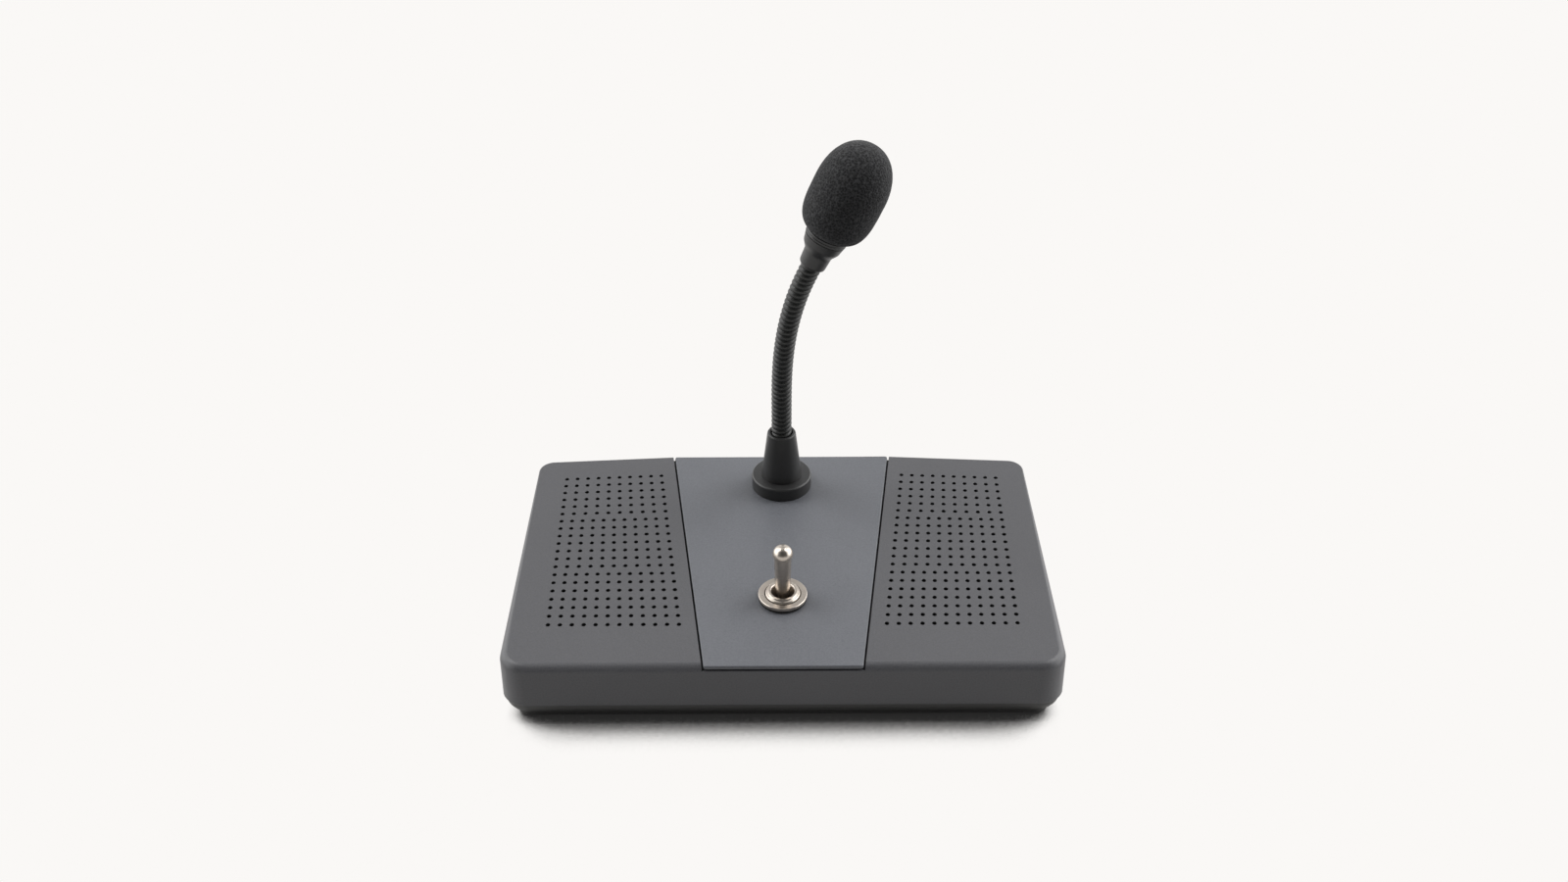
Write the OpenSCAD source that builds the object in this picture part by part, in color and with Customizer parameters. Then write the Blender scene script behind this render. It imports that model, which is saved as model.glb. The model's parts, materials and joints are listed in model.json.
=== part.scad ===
// Desk console for an interpreter: a sloping housing with two perforated speaker wings, a control panel
// between them, a toggle switch and a gooseneck microphone. Millimetres, +X to the user's right, +Y to the
// rear, +Z up, origin on the table under the middle of the housing.

/* [Housing] */
// Width of the housing
body_w = 180; // [170:1:220]
// Depth of the housing, front to rear
body_d = 112; // [108:1:140]
// Height of the top's front edge above the table
front_h = 22; // [21:0.5:30]
// Slope of the top, rising to the rear, in degrees
slope = 8; // [6:0.5:12]
// Wall of the upper housing
wall = 2.5; // [2:0.1:3]
// Radius of the front corners, seen from above
front_corner_r = 9; // [7:0.5:12]
// Radius of the rear corners, seen from above
rear_corner_r = 5.5; // [5.5:0.5:9]
// Rounding of the top edges
edge_r = 3.2; // [2:0.1:5]
// Rounding of the top's rear edges
rear_edge_r = 0.8; // [0.6:0.1:3]
// How far the wings' outer rear corners are swept forward
wing_sweep = 2.9; // [0:0.1:6]
// Height of the parting line between the two housings
parting_h = 7.2; // [6.8:0.1:8]
// How far the lower housing stands back from the upper one
tray_inset = 0.8; // [0.4:0.1:1.2]
// Wall of the lower housing
tray_wall = 2.2; // [2:0.1:3]
// Rounding of the lower housing's bottom edge
tray_edge_r = 4.4; // [1:0.1:4.5]
// Height of the lower housing's underside, at the top of its plinth
plinth_h = 2.4; // [2:0.1:3]
// How far the plinth stands back from the lower housing
plinth_inset = 3.5; // [2:0.5:4]
// Thickness of the lower housing's floor above the plinth
tray_floor = 2; // [1.6:0.1:2.4]
// Height of the lip that locates the upper housing
lip_h = 1.5; // [1.2:0.1:3]
// Thickness of the lip
lip_t = 1.2; // [1:0.1:1.5]

/* [Control panel] */
// Width of the panel at its rear edge
panel_rear_w = 80; // [76:1:84]
// Width of the panel at its front edge
panel_front_w = 50; // [46:1:54]
// Thickness of the panel
panel_t = 1.2; // [1:0.1:1.6]
// Gap between the panel's sides and the wings
panel_gap = 0.6; // [0.3:0.1:1]
// Height of the shadow gap under the panel's edges
shadow_gap = 0.6; // [0.4:0.1:0.8]
// How far the panel's seat stands back from its edges
seat_inset = 2; // [1.5:0.1:3]
// Thickness of the floor that carries the panel
pocket_floor = 2.5; // [2:0.1:3]
// Diameter of the panel's stand-offs
standoff_d = 4.4; // [4:0.1:5]

/* [Grilles] */
// Diameter of a grille hole
hole_d = 1.5; // [1:0.1:2]
// Rows of holes in a grille
grille_rows = 20; // [12:1:22]
// Holes in the rearmost row
rear_row_holes = 10; // [6:1:11]
// Holes in the front row
front_row_holes = 12; // [8:1:13]
// Distance of the holes from the panel's edge
grille_seam_margin = 6; // [5.5:0.1:8]
// Distance of the rear row's last hole from the housing's side
grille_side_rear = 11; // [9:0.5:16]
// Distance of the front row's last hole from the housing's side
grille_side_front = 14; // [10:0.5:18]
// Distance of the rear row from the top's rear edge
grille_rear_margin = 12.2; // [11:0.1:16]
// Distance of the front row from the top's front edge
grille_front_margin = 19.9; // [17:0.1:24]
// Thickness of the acoustic cloth behind the holes
cloth_t = 0.5; // [0.3:0.1:0.8]
// How far the cloth reaches past the holes
cloth_margin = 2; // [1.5:0.1:2.3]

/* [Speakers] */
// Width of the speaker's flange
speaker_w = 41; // [38:0.5:42]
// Length of the speaker's flange
speaker_l = 72; // [66:1:74]
// Thickness of the speaker's flange
speaker_flange_t = 1.5; // [1:0.1:2]
// Thickness of the gasket between the cloth and the flange
gasket_t = 3.5; // [2:0.1:4]
// Width of the gasket's ring
gasket_w = 2; // [1.5:0.1:2.5]
// Depth of the speaker's basket behind its flange
basket_h = 6.5; // [5:0.1:7]
// Wall of the basket
basket_wall = 1.2; // [1:0.1:1.5]
// Diameter of the magnet
magnet_d = 26; // [20:1:28]
// Thickness of the magnet
magnet_h = 5; // [3:0.1:6]
// Diameter of the voice coil's end of the cone
coil_d = 15; // [12:1:18]
// Thickness of the speaker's paper
paper_t = 0.8; // [0.6:0.1:1]

/* [Toggle switch] */
// Distance of the switch from the panel's front edge
switch_from_front = 32.6; // [28:0.1:40]
// Diameter of the switch's bushing
bushing_d = 12; // [11.6:0.1:12.4]
// Height of the bushing above the panel
bushing_stand = 3.2; // [2.6:0.1:4]
// Outer diameter of the dress ring
ring_d = 16.2; // [15:0.1:20]
// Thickness of the dress ring
ring_t = 2.1; // [1.5:0.1:2.4]
// Depth of the lever's pivot below the panel's face
pivot_depth = 3; // [2.8:0.1:3.2]
// Diameter of the lever's ball
lever_ball_d = 6; // [5.8:0.1:6.2]
// Height of the lever's tip centre above the panel's face
lever_stand = 18.6; // [15:0.1:24]
// Diameter of the lever's tip
lever_tip_d = 6.7; // [6:0.1:7.5]
// Diameter of the lever under its tip
lever_neck_d = 5.9; // [5.2:0.1:6]
// Diameter of the lever at its waist
lever_waist_d = 5.1; // [4.4:0.1:5.4]
// Height of the lever's waist above the panel's face
lever_waist_h = 5.5; // [5:0.1:7]
// Diameter of the lever in the bushing's mouth
lever_root_d = 3.4; // [3:0.1:3.6]
// Diameter of the lever's cross pin
pivot_pin_d = 1.2; // [1:0.1:1.6]
// Width of the switch case
case_w = 17; // [15:0.5:20]
// Length of the switch case, along the throw
case_l = 28; // [24:0.5:30]
// Height of the switch case
case_h = 11.5; // [11:0.1:12.5]
// Length of a solder terminal
terminal_l = 3.5; // [2:0.1:4]

/* [Gooseneck] */
// Distance of the neck from the panel's rear edge
neck_from_rear = 17.6; // [16:0.1:22]
// Diameter of the neck's flange
flange_d = 21.5; // [18:0.5:26]
// Thickness of the neck's flange
flange_t = 5; // [3:0.1:7]
// Diameter of the socket at the flange
socket_d = 14.5; // [13:0.1:17]
// Diameter of the socket at its rim
socket_rim_d = 10.2; // [9.4:0.1:11.5]
// Height of the socket's rim above the panel
socket_h = 23.3; // [20:0.1:28]
// Depth of the socket's bore
socket_bore_depth = 13; // [11:0.1:15]
// Diameter of the socket's stud under the flange
stud_d = 10; // [9:0.1:11]
// Outer diameter of the ribbed neck
neck_d = 7.2; // [6.8:0.1:7.6]
// Radius of one rib's bead
rib_r = 0.55; // [0.45:0.05:0.6]
// Distance from rib to rib
rib_pitch = 2; // [1.7:0.1:2.4]
// Ribs on one link
ribs_per_link = 4; // [3:1:5]
// Half of the gap between two links
joint_half = 0.65; // [0.6:0.05:0.8]
// Radius of the dome that one link turns on
dome_r = 2.1; // [1.9:0.05:2.2]
// Diameter of the channel for the microphone's lead
lead_d = 2.4; // [2:0.1:2.8]
// How far the head leans to the right in all, in degrees
neck_lean = 24; // [0:0.5:30]

/* [Microphone] */
// Diameter of the foam windscreen
foam_d = 24.6; // [24:0.1:30]
// Length of the foam windscreen
foam_l = 33.4; // [32:0.2:48]
// How far the windscreen's round lower end is cut off flat
foam_cut = 0.5; // [0.3:0.1:1]
// Length of the holder below the windscreen
holder_l = 12.9; // [12:0.1:15]
// Diameter of the holder's rim under the windscreen
holder_d = 14.8; // [13.6:0.1:16]
// Diameter of the holder's collar on the neck
collar_d = 9.2; // [8.6:0.1:10]
// Diameter of the stem inside the windscreen
stem_d = 11; // [10.8:0.1:12]
// Length of the stem inside the windscreen
stem_l = 17; // [14:0.1:20]
// Diameter of the microphone capsule
capsule_d = 9.7; // [9:0.1:9.8]
// Height of the microphone capsule
capsule_h = 6.7; // [5:0.1:8]

/* [Inside and underneath] */
// Width of the circuit board
board_w = 62; // [56:1:66]
// Depth of the circuit board
board_d = 50; // [44:1:52]
// Thickness of the circuit board
board_t = 1.6; // [1.2:0.1:2]
// Width of the link socket's body
link_w = 16.2; // [15:0.1:18]
// Height of the link socket's body
link_h = 13.4; // [12.6:0.1:15]
// Depth of the link socket's body
link_d = 18; // [16:0.1:20]
// Width of the link socket's opening
link_open_w = 11.8; // [11:0.1:12.2]
// Height of the link socket's opening
link_open_h = 7.6; // [7:0.1:8]
// Depth of the link socket's opening
link_open_d = 13; // [11:0.1:14]
// Diameter of a rubber foot
foot_d = 12; // [10:0.5:13]
// Height of the plinth above the table, which the feet bridge
foot_gap = 0.6; // [0.4:0.1:0.9]
// Depth of a foot's recess in the plinth
foot_recess = 1; // [0.6:0.1:1.2]
// Diameter of the screw bosses
boss_d = 6; // [5.6:0.1:6.4]
// Diameter of the screws' shanks
screw_d = 2.5; // [2.2:0.1:3]
// Diameter of the screws' heads
screw_head_d = 4.6; // [4.2:0.1:4.8]
// Height of the screws' heads
screw_head_h = 1.8; // [1.4:0.1:2]

/* [Hidden] */
$fn = 64;

// Clearances
press_clear = 0.05;
slip_clear = 0.1;
lip_clear = 0.15;
ball_clear = 0.15;
dome_clear = 0.2;
socket_clear = 0.3;
rib_clear = 0.4;
end_clear = 0.3;
tail_clear = 0.45;
head_clear = 0.4;
cut = 1;

// Frame of the sloping top: x, v up the slope and n out of it
v_front = -body_d / 2 / cos(slope);
v_rear = body_d / 2 / cos(slope);
far = 2 * body_w;
function top_z(y) = front_h + (y + body_d / 2) * tan(slope);

// Housing
tray_floor_z = plinth_h + tray_floor;
skim = 0.02;
crown = 0.05;
corner_x = body_w / 2 - front_corner_r;
rear_x = body_w / 2 - rear_corner_r;
rear_y = body_d / 2 - rear_corner_r;
corners = [
    [-corner_x, front_corner_r - body_d / 2, front_corner_r, edge_r],
    [corner_x, front_corner_r - body_d / 2, front_corner_r, edge_r],
    [rear_x, rear_y - wing_sweep, rear_corner_r, rear_edge_r],
    [panel_rear_w / 2, rear_y, rear_corner_r, rear_edge_r],
    [-panel_rear_w / 2, rear_y, rear_corner_r, rear_edge_r],
    [-rear_x, rear_y - wing_sweep, rear_corner_r, rear_edge_r]
];

// Control panel
seam_depth = panel_t + shadow_gap;
pocket_depth = seam_depth + pocket_floor;
panel_flare = (panel_rear_w - panel_front_w) / (v_rear - v_front);
function panel_half(v) = (panel_front_w + panel_flare * (v - v_front)) / 2;
standoff_edge = 6;
standoff_front = 14;
standoff_rear = 8;
standoff_spots = [
    for (v = [v_front + standoff_front, v_rear - standoff_rear], side = [-1, 1])
        [side * (panel_half(v) - standoff_edge), v]
];

// Grilles
sweep_rate = wing_sweep / (body_w / 2 - panel_rear_w / 2);
row_rear_v = v_rear - grille_rear_margin;
row_front_v = v_front + grille_front_margin;
rear_in_x = panel_half(row_rear_v) + grille_seam_margin;
rear_out_x = body_w / 2 - grille_side_rear;
front_in_x = panel_half(row_front_v) + grille_seam_margin;
front_out_x = body_w / 2 - grille_side_front;
grille_quad = [
    [front_in_x, row_front_v],
    [front_out_x, row_front_v],
    [rear_out_x, row_rear_v - sweep_rate * (rear_out_x - rear_in_x)],
    [rear_in_x, row_rear_v]
];
function blend(a, b, t) = a + (b - a) * t;
function row_holes(row) =
    rear_row_holes + floor((row + 1) * (front_row_holes - rear_row_holes + 1) / (grille_rows + 1));
function grille_hole(row, hole) =
    let (t = row / (grille_rows - 1))
    blend(
        blend(grille_quad[3], grille_quad[0], t),
        blend(grille_quad[2], grille_quad[1], t),
        hole / (row_holes(row) - 1)
    );

// Speakers
speaker_at = (grille_quad[0] + grille_quad[1] + grille_quad[2] + grille_quad[3]) / 4;
speaker_axis = grille_quad[2] + grille_quad[3] - grille_quad[0] - grille_quad[1];
speaker_turn = atan2(speaker_axis.x, speaker_axis.y);
speaker_seat = wall + cloth_t + gasket_t;
speaker_corner = 4;
speaker_rim = 4;
basket_half_w = speaker_w / 2 - speaker_rim;
basket_half_l = speaker_l / 2 - speaker_rim;
basket_end = speaker_seat + speaker_flange_t + basket_h;
speaker_screw_spots = [
    for (x = [-1, 1], y = [-1, 1])
        [x * (speaker_w / 2 - speaker_corner), y * (speaker_l / 2 - speaker_corner)]
];
speaker_boss_d = 6;
speaker_screw_reach = 2.5;
surround_w = 3;
coil_gap = 1;
dust_cap_h = 2;

// Toggle switch
switch_v = v_front + switch_from_front;
washer_t = 0.8;
washer_rim = 3;
switch_nut_t = 2;
hex_over_d = 1.55;
case_top = max(panel_t + washer_t + switch_nut_t, pocket_depth) + end_clear;
window_margin = 3;
bushing_seat = 1;
bushing_chamfer = 0.7;
bushing_throat_d = 5;
bushing_mouth_d = 8;
throw_slot = 8.6;
lever_root_h = 1.6;
tail_l = 8.5;
tail_d = 3;
tail_slot_w = tail_d + 2 * tail_clear;
switch_window_d = bushing_d * hex_over_d + 2 * window_margin;
terminal_w = 2.2;
terminal_t = 0.8;
terminal_pitch = 8;
terminal_row = 7;

// Gooseneck
neck_v = v_rear - neck_from_rear;
link_count = 8;
straight_links = 2;
bend_power = 1.5;
link_len = 2 * (joint_half + rib_r) + (ribs_per_link - 1) * rib_pitch;
rib_root = 0.2;
neck_core_r = neck_d / 2 - 2 * rib_r + rib_root;
dish_r = dome_r + dome_clear;
first_joint_n = socket_h + joint_half + rib_r + end_clear;
socket_bore_d = neck_d + 2 * rib_clear;
socket_bore_n = socket_h - socket_bore_depth;
socket_foot_h = 3;
ferrule_h = 4;
neck_washer_d = stud_d + 2 * washer_rim;
neck_washer_t = 1;
neck_nut_t = 5;
stud_spare = 1;
stud_end = panel_t + neck_washer_t + neck_nut_t + stud_spare;
neck_window_d = neck_washer_d + 2 * window_margin;
function link_tilt(i) =
    i <= straight_links ? 0
    : neck_lean * pow((i - straight_links) / (link_count - straight_links), bend_power);
function joint_u(i) = i <= 1 ? 0 : joint_u(i - 1) + link_len * sin(link_tilt(i - 1));
function joint_n(i) = i <= 1 ? first_joint_n : joint_n(i - 1) + link_len * cos(link_tilt(i - 1));

// Microphone, measured along the last link from its joint
holder_w = link_len - joint_half + slip_clear;
spigot_l = 5;
holder_top_w = holder_w + holder_l;
stem_top_w = holder_top_w + stem_l;
cap_t = 1;
vent_d = 1.2;
cup_d = capsule_d + 2 * slip_clear;
collar_round = 1.2;
waist_rise = 0.25;
flare_from = 5;
flare_in = 0.8;
flare_steps = 6;
band_h = 2.1;
band_in = 0.3;
ring_h = 0.65;
groove_h = 0.35;
groove_depth = 0.3;
grooves_w = holder_l - 2 * ring_h - 2 * groove_h;
foam_top_power = 2.2;
foam_foot_power = 3.7;
foam_steps = 22;

// Inside and underneath
boss_rise = 2.5;
boss_z = parting_h + lip_h + boss_rise;
screw_reach = 7;
boss_side_inset = 7.6;
boss_front_inset = 10;
boss_rear_inset = 8.5;
boss_spots = [
    for (y = [boss_front_inset - body_d / 2, body_d / 2 - wing_sweep - boss_rear_inset], side = [-1, 1])
        [side * (body_w / 2 - boss_side_inset), y]
];
head_seat_z = foot_gap + end_clear + screw_head_h;
recess_l = 2.8;
recess_t = 0.7;
foot_inset = 20;
foot_spots = [
    for (y = [-1, 1], side = [-1, 1])
        [side * (body_w / 2 - foot_inset), y * (body_d / 2 - foot_inset)]
];
foot_edge = 0.6;
board_top_z = parting_h + lip_h + socket_clear + press_clear;
board_z = board_top_z - board_t;
board_rear_y = body_d / 2 - wall - lip_clear - lip_t - end_clear;
board_mid_y = board_rear_y - board_d / 2;
board_hole_inset = 4;
board_spots = [
    for (x = [-1, 1], y = [-1, 1])
        [x * (board_w / 2 - board_hole_inset), board_mid_y + y * (board_d / 2 - board_hole_inset)]
];
board_post_d = 6;
board_rest_t = 2;
board_screw_l = 5;
chip = [12, 8, 3.2];
spreader = [14, 3, 11];
chip_edge = 8;
capacitor_d = 8;
capacitor_h = 11.5;
capacitor_pitch = 10;
capacitor_edge = 10;
capacitor_count = 3;
header = [10, 6, 7];
header_wall = 0.8;
header_pitch = 15;
header_edge = 6;
link_floor = 2.2;
latch_w = 6;
latch_h = 2;

// Places things on the sloping top, v up the slope from its middle
module on_top(v = 0) {
    translate([0, 0, top_z(0)])
        rotate([slope, 0, 0])
            translate([0, v, 0])
                children();
}

// Places things on one link of the neck, with the link's lower joint at the origin
module on_link(i) {
    on_top(neck_v)
        translate([joint_u(i), 0, joint_n(i)])
            rotate([0, link_tilt(i), 0])
                children();
}

// Places things on one wing's speaker
module on_speaker(side) {
    on_top()
        translate([side * speaker_at.x, speaker_at.y, 0])
            rotate(-side * speaker_turn)
                children();
}

// Everything above a plane that lies the given depth under the sloping top
module above_top(depth) {
    on_top()
        translate([-far / 2, -far / 2, -depth])
            cube([far, far, far]);
}

// Outline of the housing, seen from above and set in from its walls
module outline(inset) {
    hull()
        for (c = corners)
            translate([c.x, c.y])
                circle(c.z - inset, $fn = 40);
}

// Disc with a round rim, centred on the origin
module rounded_disc(r, edge) {
    rotate_extrude($fn = 40)
        intersection() {
            translate([r - edge, 0])
                circle(edge, $fn = 32);
            translate([0, -edge])
                square([r, 2 * edge]);
        }
}

// Trapezoid of the control panel between two places up the slope
module trapezoid(grow, v0, v1) {
    polygon([
        [-panel_half(v0) - grow, v0],
        [panel_half(v0) + grow, v0],
        [panel_half(v1) + grow, v1],
        [-panel_half(v1) - grow, v1]
    ]);
}

// Flat shape with round ends
module stadium(half_w, half_l) {
    hull()
        for (end = [-1, 1])
            translate([0, end * (half_l - half_w)])
                circle(half_w, $fn = 48);
}

// Hexagonal nut with its bore, downwards from the origin
module nut(bore_d, t) {
    translate([0, 0, -t])
        difference() {
            cylinder(d = bore_d * hex_over_d, h = t, $fn = 6);
            translate([0, 0, -t])
                cylinder(d = bore_d + 2 * press_clear, h = 3 * t);
        }
}

// Flat ring, upwards from the origin
module washer(outer_d, bore_d, t) {
    difference() {
        cylinder(d = outer_d, h = t);
        translate([0, 0, -t])
            cylinder(d = bore_d + 2 * press_clear, h = 3 * t);
    }
}

// Screw with its shank up and the underside of its head at the origin
module screw_up(length) {
    cylinder(d = screw_d, h = length);
    translate([0, 0, -screw_head_h])
        difference() {
            cylinder(d = screw_head_d, h = screw_head_h);
            for (turn = [0, 90])
                rotate(turn)
                    translate([-recess_l / 2, -recess_t / 2, -cut])
                        cube([recess_l, recess_t, cut + screw_head_h / 2]);
        }
}

module upper_block() {
    hull()
        for (c = corners) {
            translate([c.x, c.y, top_z(c.y) - c[3] / cos(slope) + crown])
                rotate([slope, 0, 0])
                    rounded_disc(c.z, c[3]);
            translate([c.x, c.y, parting_h])
                cylinder(r = c.z, h = edge_r, $fn = 40);
        }
}

module upper_shell() {
    difference() {
        upper_block();
        above_top(0);
        difference() {
            linear_extrude(far)
                outline(wall);
            above_top(wall);
        }
    }
}

// Floor under the control panel, let into the walls around it
module pocket() {
    intersection() {
        linear_extrude(far)
            outline(wall / 2);
        on_top()
            translate([0, 0, -pocket_depth])
                linear_extrude(pocket_floor)
                    trapezoid(panel_gap + wall, v_front - wall, v_rear + wall);
    }
}

module panel_seat() {
    on_top()
        translate([0, 0, -seam_depth - pocket_floor / 2])
            linear_extrude(pocket_floor / 2 + shadow_gap)
                trapezoid(-seat_inset, v_front + seat_inset, v_rear - seat_inset);
}

module housing_bosses() {
    difference() {
        for (spot = boss_spots)
            translate([spot.x, spot.y, boss_z])
                cylinder(d = boss_d, h = body_d);
        above_top(wall / 2);
    }
}

module speaker_bosses() {
    for (side = [-1, 1])
        on_speaker(side)
            for (spot = speaker_screw_spots)
                translate([spot.x, spot.y, -speaker_seat])
                    cylinder(d = speaker_boss_d, h = speaker_seat - wall / 2);
}

module grille_holes() {
    on_top()
        for (side = [-1, 1], row = [0:grille_rows - 1], hole = [0:row_holes(row) - 1])
            translate([side * grille_hole(row, hole).x, grille_hole(row, hole).y, -2 * wall])
                cylinder(d = hole_d, h = 3 * wall, $fn = 24);
}

module upper_housing() {
    color("#6c6c6e")
        difference() {
            union() {
                difference() {
                    union() {
                        upper_shell();
                        pocket();
                    }
                    on_top()
                        translate([0, 0, -seam_depth])
                            linear_extrude(far)
                                trapezoid(panel_gap, v_front - body_d, v_rear + body_d);
                }
                panel_seat();
                housing_bosses();
                speaker_bosses();
            }
            on_top(switch_v)
                translate([0, 0, -2 * pocket_depth])
                    cylinder(d = switch_window_d, h = 3 * pocket_depth);
            on_top(neck_v)
                translate([0, 0, -2 * pocket_depth])
                    cylinder(d = neck_window_d, h = 3 * pocket_depth);
            on_top()
                for (spot = standoff_spots)
                    translate([spot.x, spot.y, -2 * pocket_depth])
                        cylinder(d = standoff_d + 2 * slip_clear, h = 3 * pocket_depth);
            for (spot = boss_spots)
                translate([spot.x, spot.y, boss_z - cut])
                    cylinder(d = screw_d + 2 * press_clear, h = cut + screw_reach + end_clear);
            for (side = [-1, 1])
                on_speaker(side)
                    for (spot = speaker_screw_spots)
                        translate([spot.x, spot.y, -speaker_seat - cut])
                            cylinder(
                                d = screw_d + 2 * press_clear,
                                h = cut + speaker_screw_reach + end_clear
                            );
            translate([-link_w / 2 - socket_clear, body_d / 2 - 2 * wall, board_top_z - socket_clear])
                cube([link_w + 2 * socket_clear, 3 * wall, link_h + 2 * socket_clear]);
            grille_holes();
        }
}

module tray_block() {
    hull()
        for (c = corners) {
            translate([c.x, c.y, plinth_h + tray_edge_r])
                rounded_disc(c.z - tray_inset, tray_edge_r);
            translate([c.x, c.y, plinth_h + tray_edge_r])
                cylinder(r = c.z - tray_inset, h = tray_edge_r, $fn = 40);
        }
}

module lower_housing() {
    color("#30302f")
        difference() {
            union() {
                difference() {
                    tray_block();
                    translate([-far / 2, -far / 2, parting_h])
                        cube([far, far, far]);
                    translate([0, 0, tray_floor_z])
                        linear_extrude(far)
                            outline(tray_inset + tray_wall);
                }
                translate([0, 0, foot_gap])
                    linear_extrude(plinth_h - foot_gap + tray_floor / 2)
                        outline(tray_inset + plinth_inset);
                difference() {
                    translate([0, 0, tray_floor_z - tray_floor / 2])
                        linear_extrude(parting_h + lip_h - tray_floor_z + tray_floor / 2)
                            outline(wall + lip_clear);
                    linear_extrude(far)
                        outline(wall + lip_clear + lip_t);
                }
                for (spot = boss_spots)
                    translate([spot.x, spot.y, plinth_h])
                        cylinder(d = boss_d, h = boss_z - plinth_h);
                for (spot = board_spots)
                    translate([spot.x, spot.y, plinth_h])
                        cylinder(d = board_post_d, h = board_z - plinth_h);
                translate([-link_w / 2, board_rear_y - board_rest_t, plinth_h])
                    cube([link_w, board_rest_t, board_z - plinth_h]);
            }
            for (spot = boss_spots)
                translate([spot.x, spot.y, 0]) {
                    cylinder(d = screw_d + 2 * head_clear, h = boss_z + cut);
                    cylinder(d = screw_head_d + 2 * head_clear, h = head_seat_z);
                }
            for (spot = board_spots)
                translate([spot.x, spot.y, board_z - board_screw_l + board_t])
                    cylinder(d = screw_d + 2 * press_clear, h = board_screw_l);
            for (spot = foot_spots)
                translate([spot.x, spot.y, 0])
                    cylinder(d = foot_d + 2 * slip_clear, h = foot_gap + foot_recess);
        }
}

module control_panel() {
    color("#75777c")
        on_top()
            difference() {
                union() {
                    translate([0, 0, -panel_t])
                        linear_extrude(panel_t)
                            trapezoid(0, v_front + end_clear, v_rear - end_clear);
                    for (spot = standoff_spots)
                        translate([spot.x, spot.y, -pocket_depth + end_clear])
                            cylinder(d = standoff_d, h = pocket_depth - end_clear - panel_t / 2);
                }
                translate([0, switch_v, -2 * panel_t])
                    cylinder(d = bushing_d + 2 * slip_clear, h = 3 * panel_t);
                translate([0, neck_v, -2 * panel_t])
                    cylinder(d = stud_d + 2 * slip_clear, h = 3 * panel_t);
                for (spot = standoff_spots)
                    translate([spot.x, spot.y, -pocket_depth])
                        cylinder(d = screw_d + 2 * press_clear, h = pocket_depth - panel_t / 2);
            }
}

module rubber_feet() {
    color("#191918")
        for (spot = foot_spots)
            translate([spot.x, spot.y, 0]) {
                cylinder(d1 = foot_d - 2 * foot_edge, d2 = foot_d, h = foot_edge);
                translate([0, 0, foot_edge])
                    cylinder(d = foot_d, h = foot_gap + foot_recess - foot_edge);
            }
}

module housing_screws() {
    color("#9a9a98")
        for (spot = boss_spots)
            translate([spot.x, spot.y, head_seat_z])
                screw_up(boss_z + screw_reach - head_seat_z);
}

module panel_screws() {
    color("#9a9a98")
        on_top()
            for (spot = standoff_spots)
                translate([spot.x, spot.y, -pocket_depth])
                    screw_up(pocket_depth - panel_t);
}

module grille_cloth(side) {
    color("#0c0c0d")
        difference() {
            on_top()
                translate([0, 0, -wall - cloth_t])
                    linear_extrude(cloth_t)
                        polygon([
                            [side * (grille_quad[0].x - cloth_margin), grille_quad[0].y - cloth_margin],
                            [side * (grille_quad[1].x + cloth_margin), grille_quad[1].y - cloth_margin],
                            [side * (grille_quad[2].x + cloth_margin), grille_quad[2].y + cloth_margin],
                            [side * (grille_quad[3].x - cloth_margin), grille_quad[3].y + cloth_margin]
                        ]);
            on_speaker(side)
                for (spot = speaker_screw_spots)
                    translate([spot.x, spot.y, -speaker_seat])
                        cylinder(d = speaker_boss_d + 2 * slip_clear, h = speaker_seat);
            for (spot = boss_spots)
                translate([spot.x, spot.y, 0])
                    cylinder(d = boss_d + 2 * slip_clear, h = far);
        }
}

module speaker_gasket(side) {
    color("#1c1c1d")
        on_speaker(side)
            translate([0, 0, -speaker_seat])
                linear_extrude(gasket_t)
                    difference() {
                        stadium(basket_half_w + gasket_w, basket_half_l + gasket_w);
                        stadium(basket_half_w, basket_half_l);
                    }
}

module speaker_frame(side) {
    color("#3a3b3d")
        on_speaker(side)
            difference() {
                union() {
                    translate([0, 0, -speaker_seat - speaker_flange_t])
                        linear_extrude(speaker_flange_t)
                            hull()
                                for (spot = speaker_screw_spots)
                                    translate(spot)
                                        circle(speaker_corner);
                    translate([0, 0, -basket_end])
                        linear_extrude(basket_h + speaker_flange_t / 2)
                            stadium(basket_half_w + basket_wall, basket_half_l + basket_wall);
                }
                translate([0, 0, -basket_end + basket_wall])
                    linear_extrude(basket_end)
                        stadium(basket_half_w, basket_half_l);
                translate([0, 0, -basket_end - cut])
                    cylinder(d = coil_d + 2 * paper_t + 2 * coil_gap, h = basket_end);
                for (spot = speaker_screw_spots)
                    translate([spot.x, spot.y, -basket_end])
                        cylinder(d = screw_d + 2 * slip_clear, h = basket_end);
            }
}

// Flat surround with a round cone and its dust cap
module speaker_cone(side) {
    cone_d = 2 * (basket_half_w - surround_w);
    cone_h = basket_h - basket_wall;
    color("#232324")
        on_speaker(side)
            translate([0, 0, -speaker_seat - speaker_flange_t])
                union() {
                    difference() {
                        linear_extrude(paper_t)
                            stadium(basket_half_w - slip_clear, basket_half_l - slip_clear);
                        translate([0, 0, -cut])
                            cylinder(d = cone_d, h = paper_t + 2 * cut);
                    }
                    rotate_extrude()
                        polygon([
                            [cone_d / 2 + surround_w / 3, 0],
                            [cone_d / 2 + surround_w / 3, paper_t],
                            [cone_d / 2, paper_t],
                            [coil_d / 2 + paper_t, paper_t - cone_h],
                            [0, paper_t - cone_h + dust_cap_h],
                            [0, dust_cap_h - cone_h],
                            [coil_d / 2 - paper_t, -cone_h],
                            [coil_d / 2 + paper_t, -cone_h]
                        ]);
                }
}

module speaker_magnet(side) {
    color("#55565a")
        on_speaker(side)
            translate([0, 0, -basket_end - magnet_h])
                cylinder(d = magnet_d, h = magnet_h);
}

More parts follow.
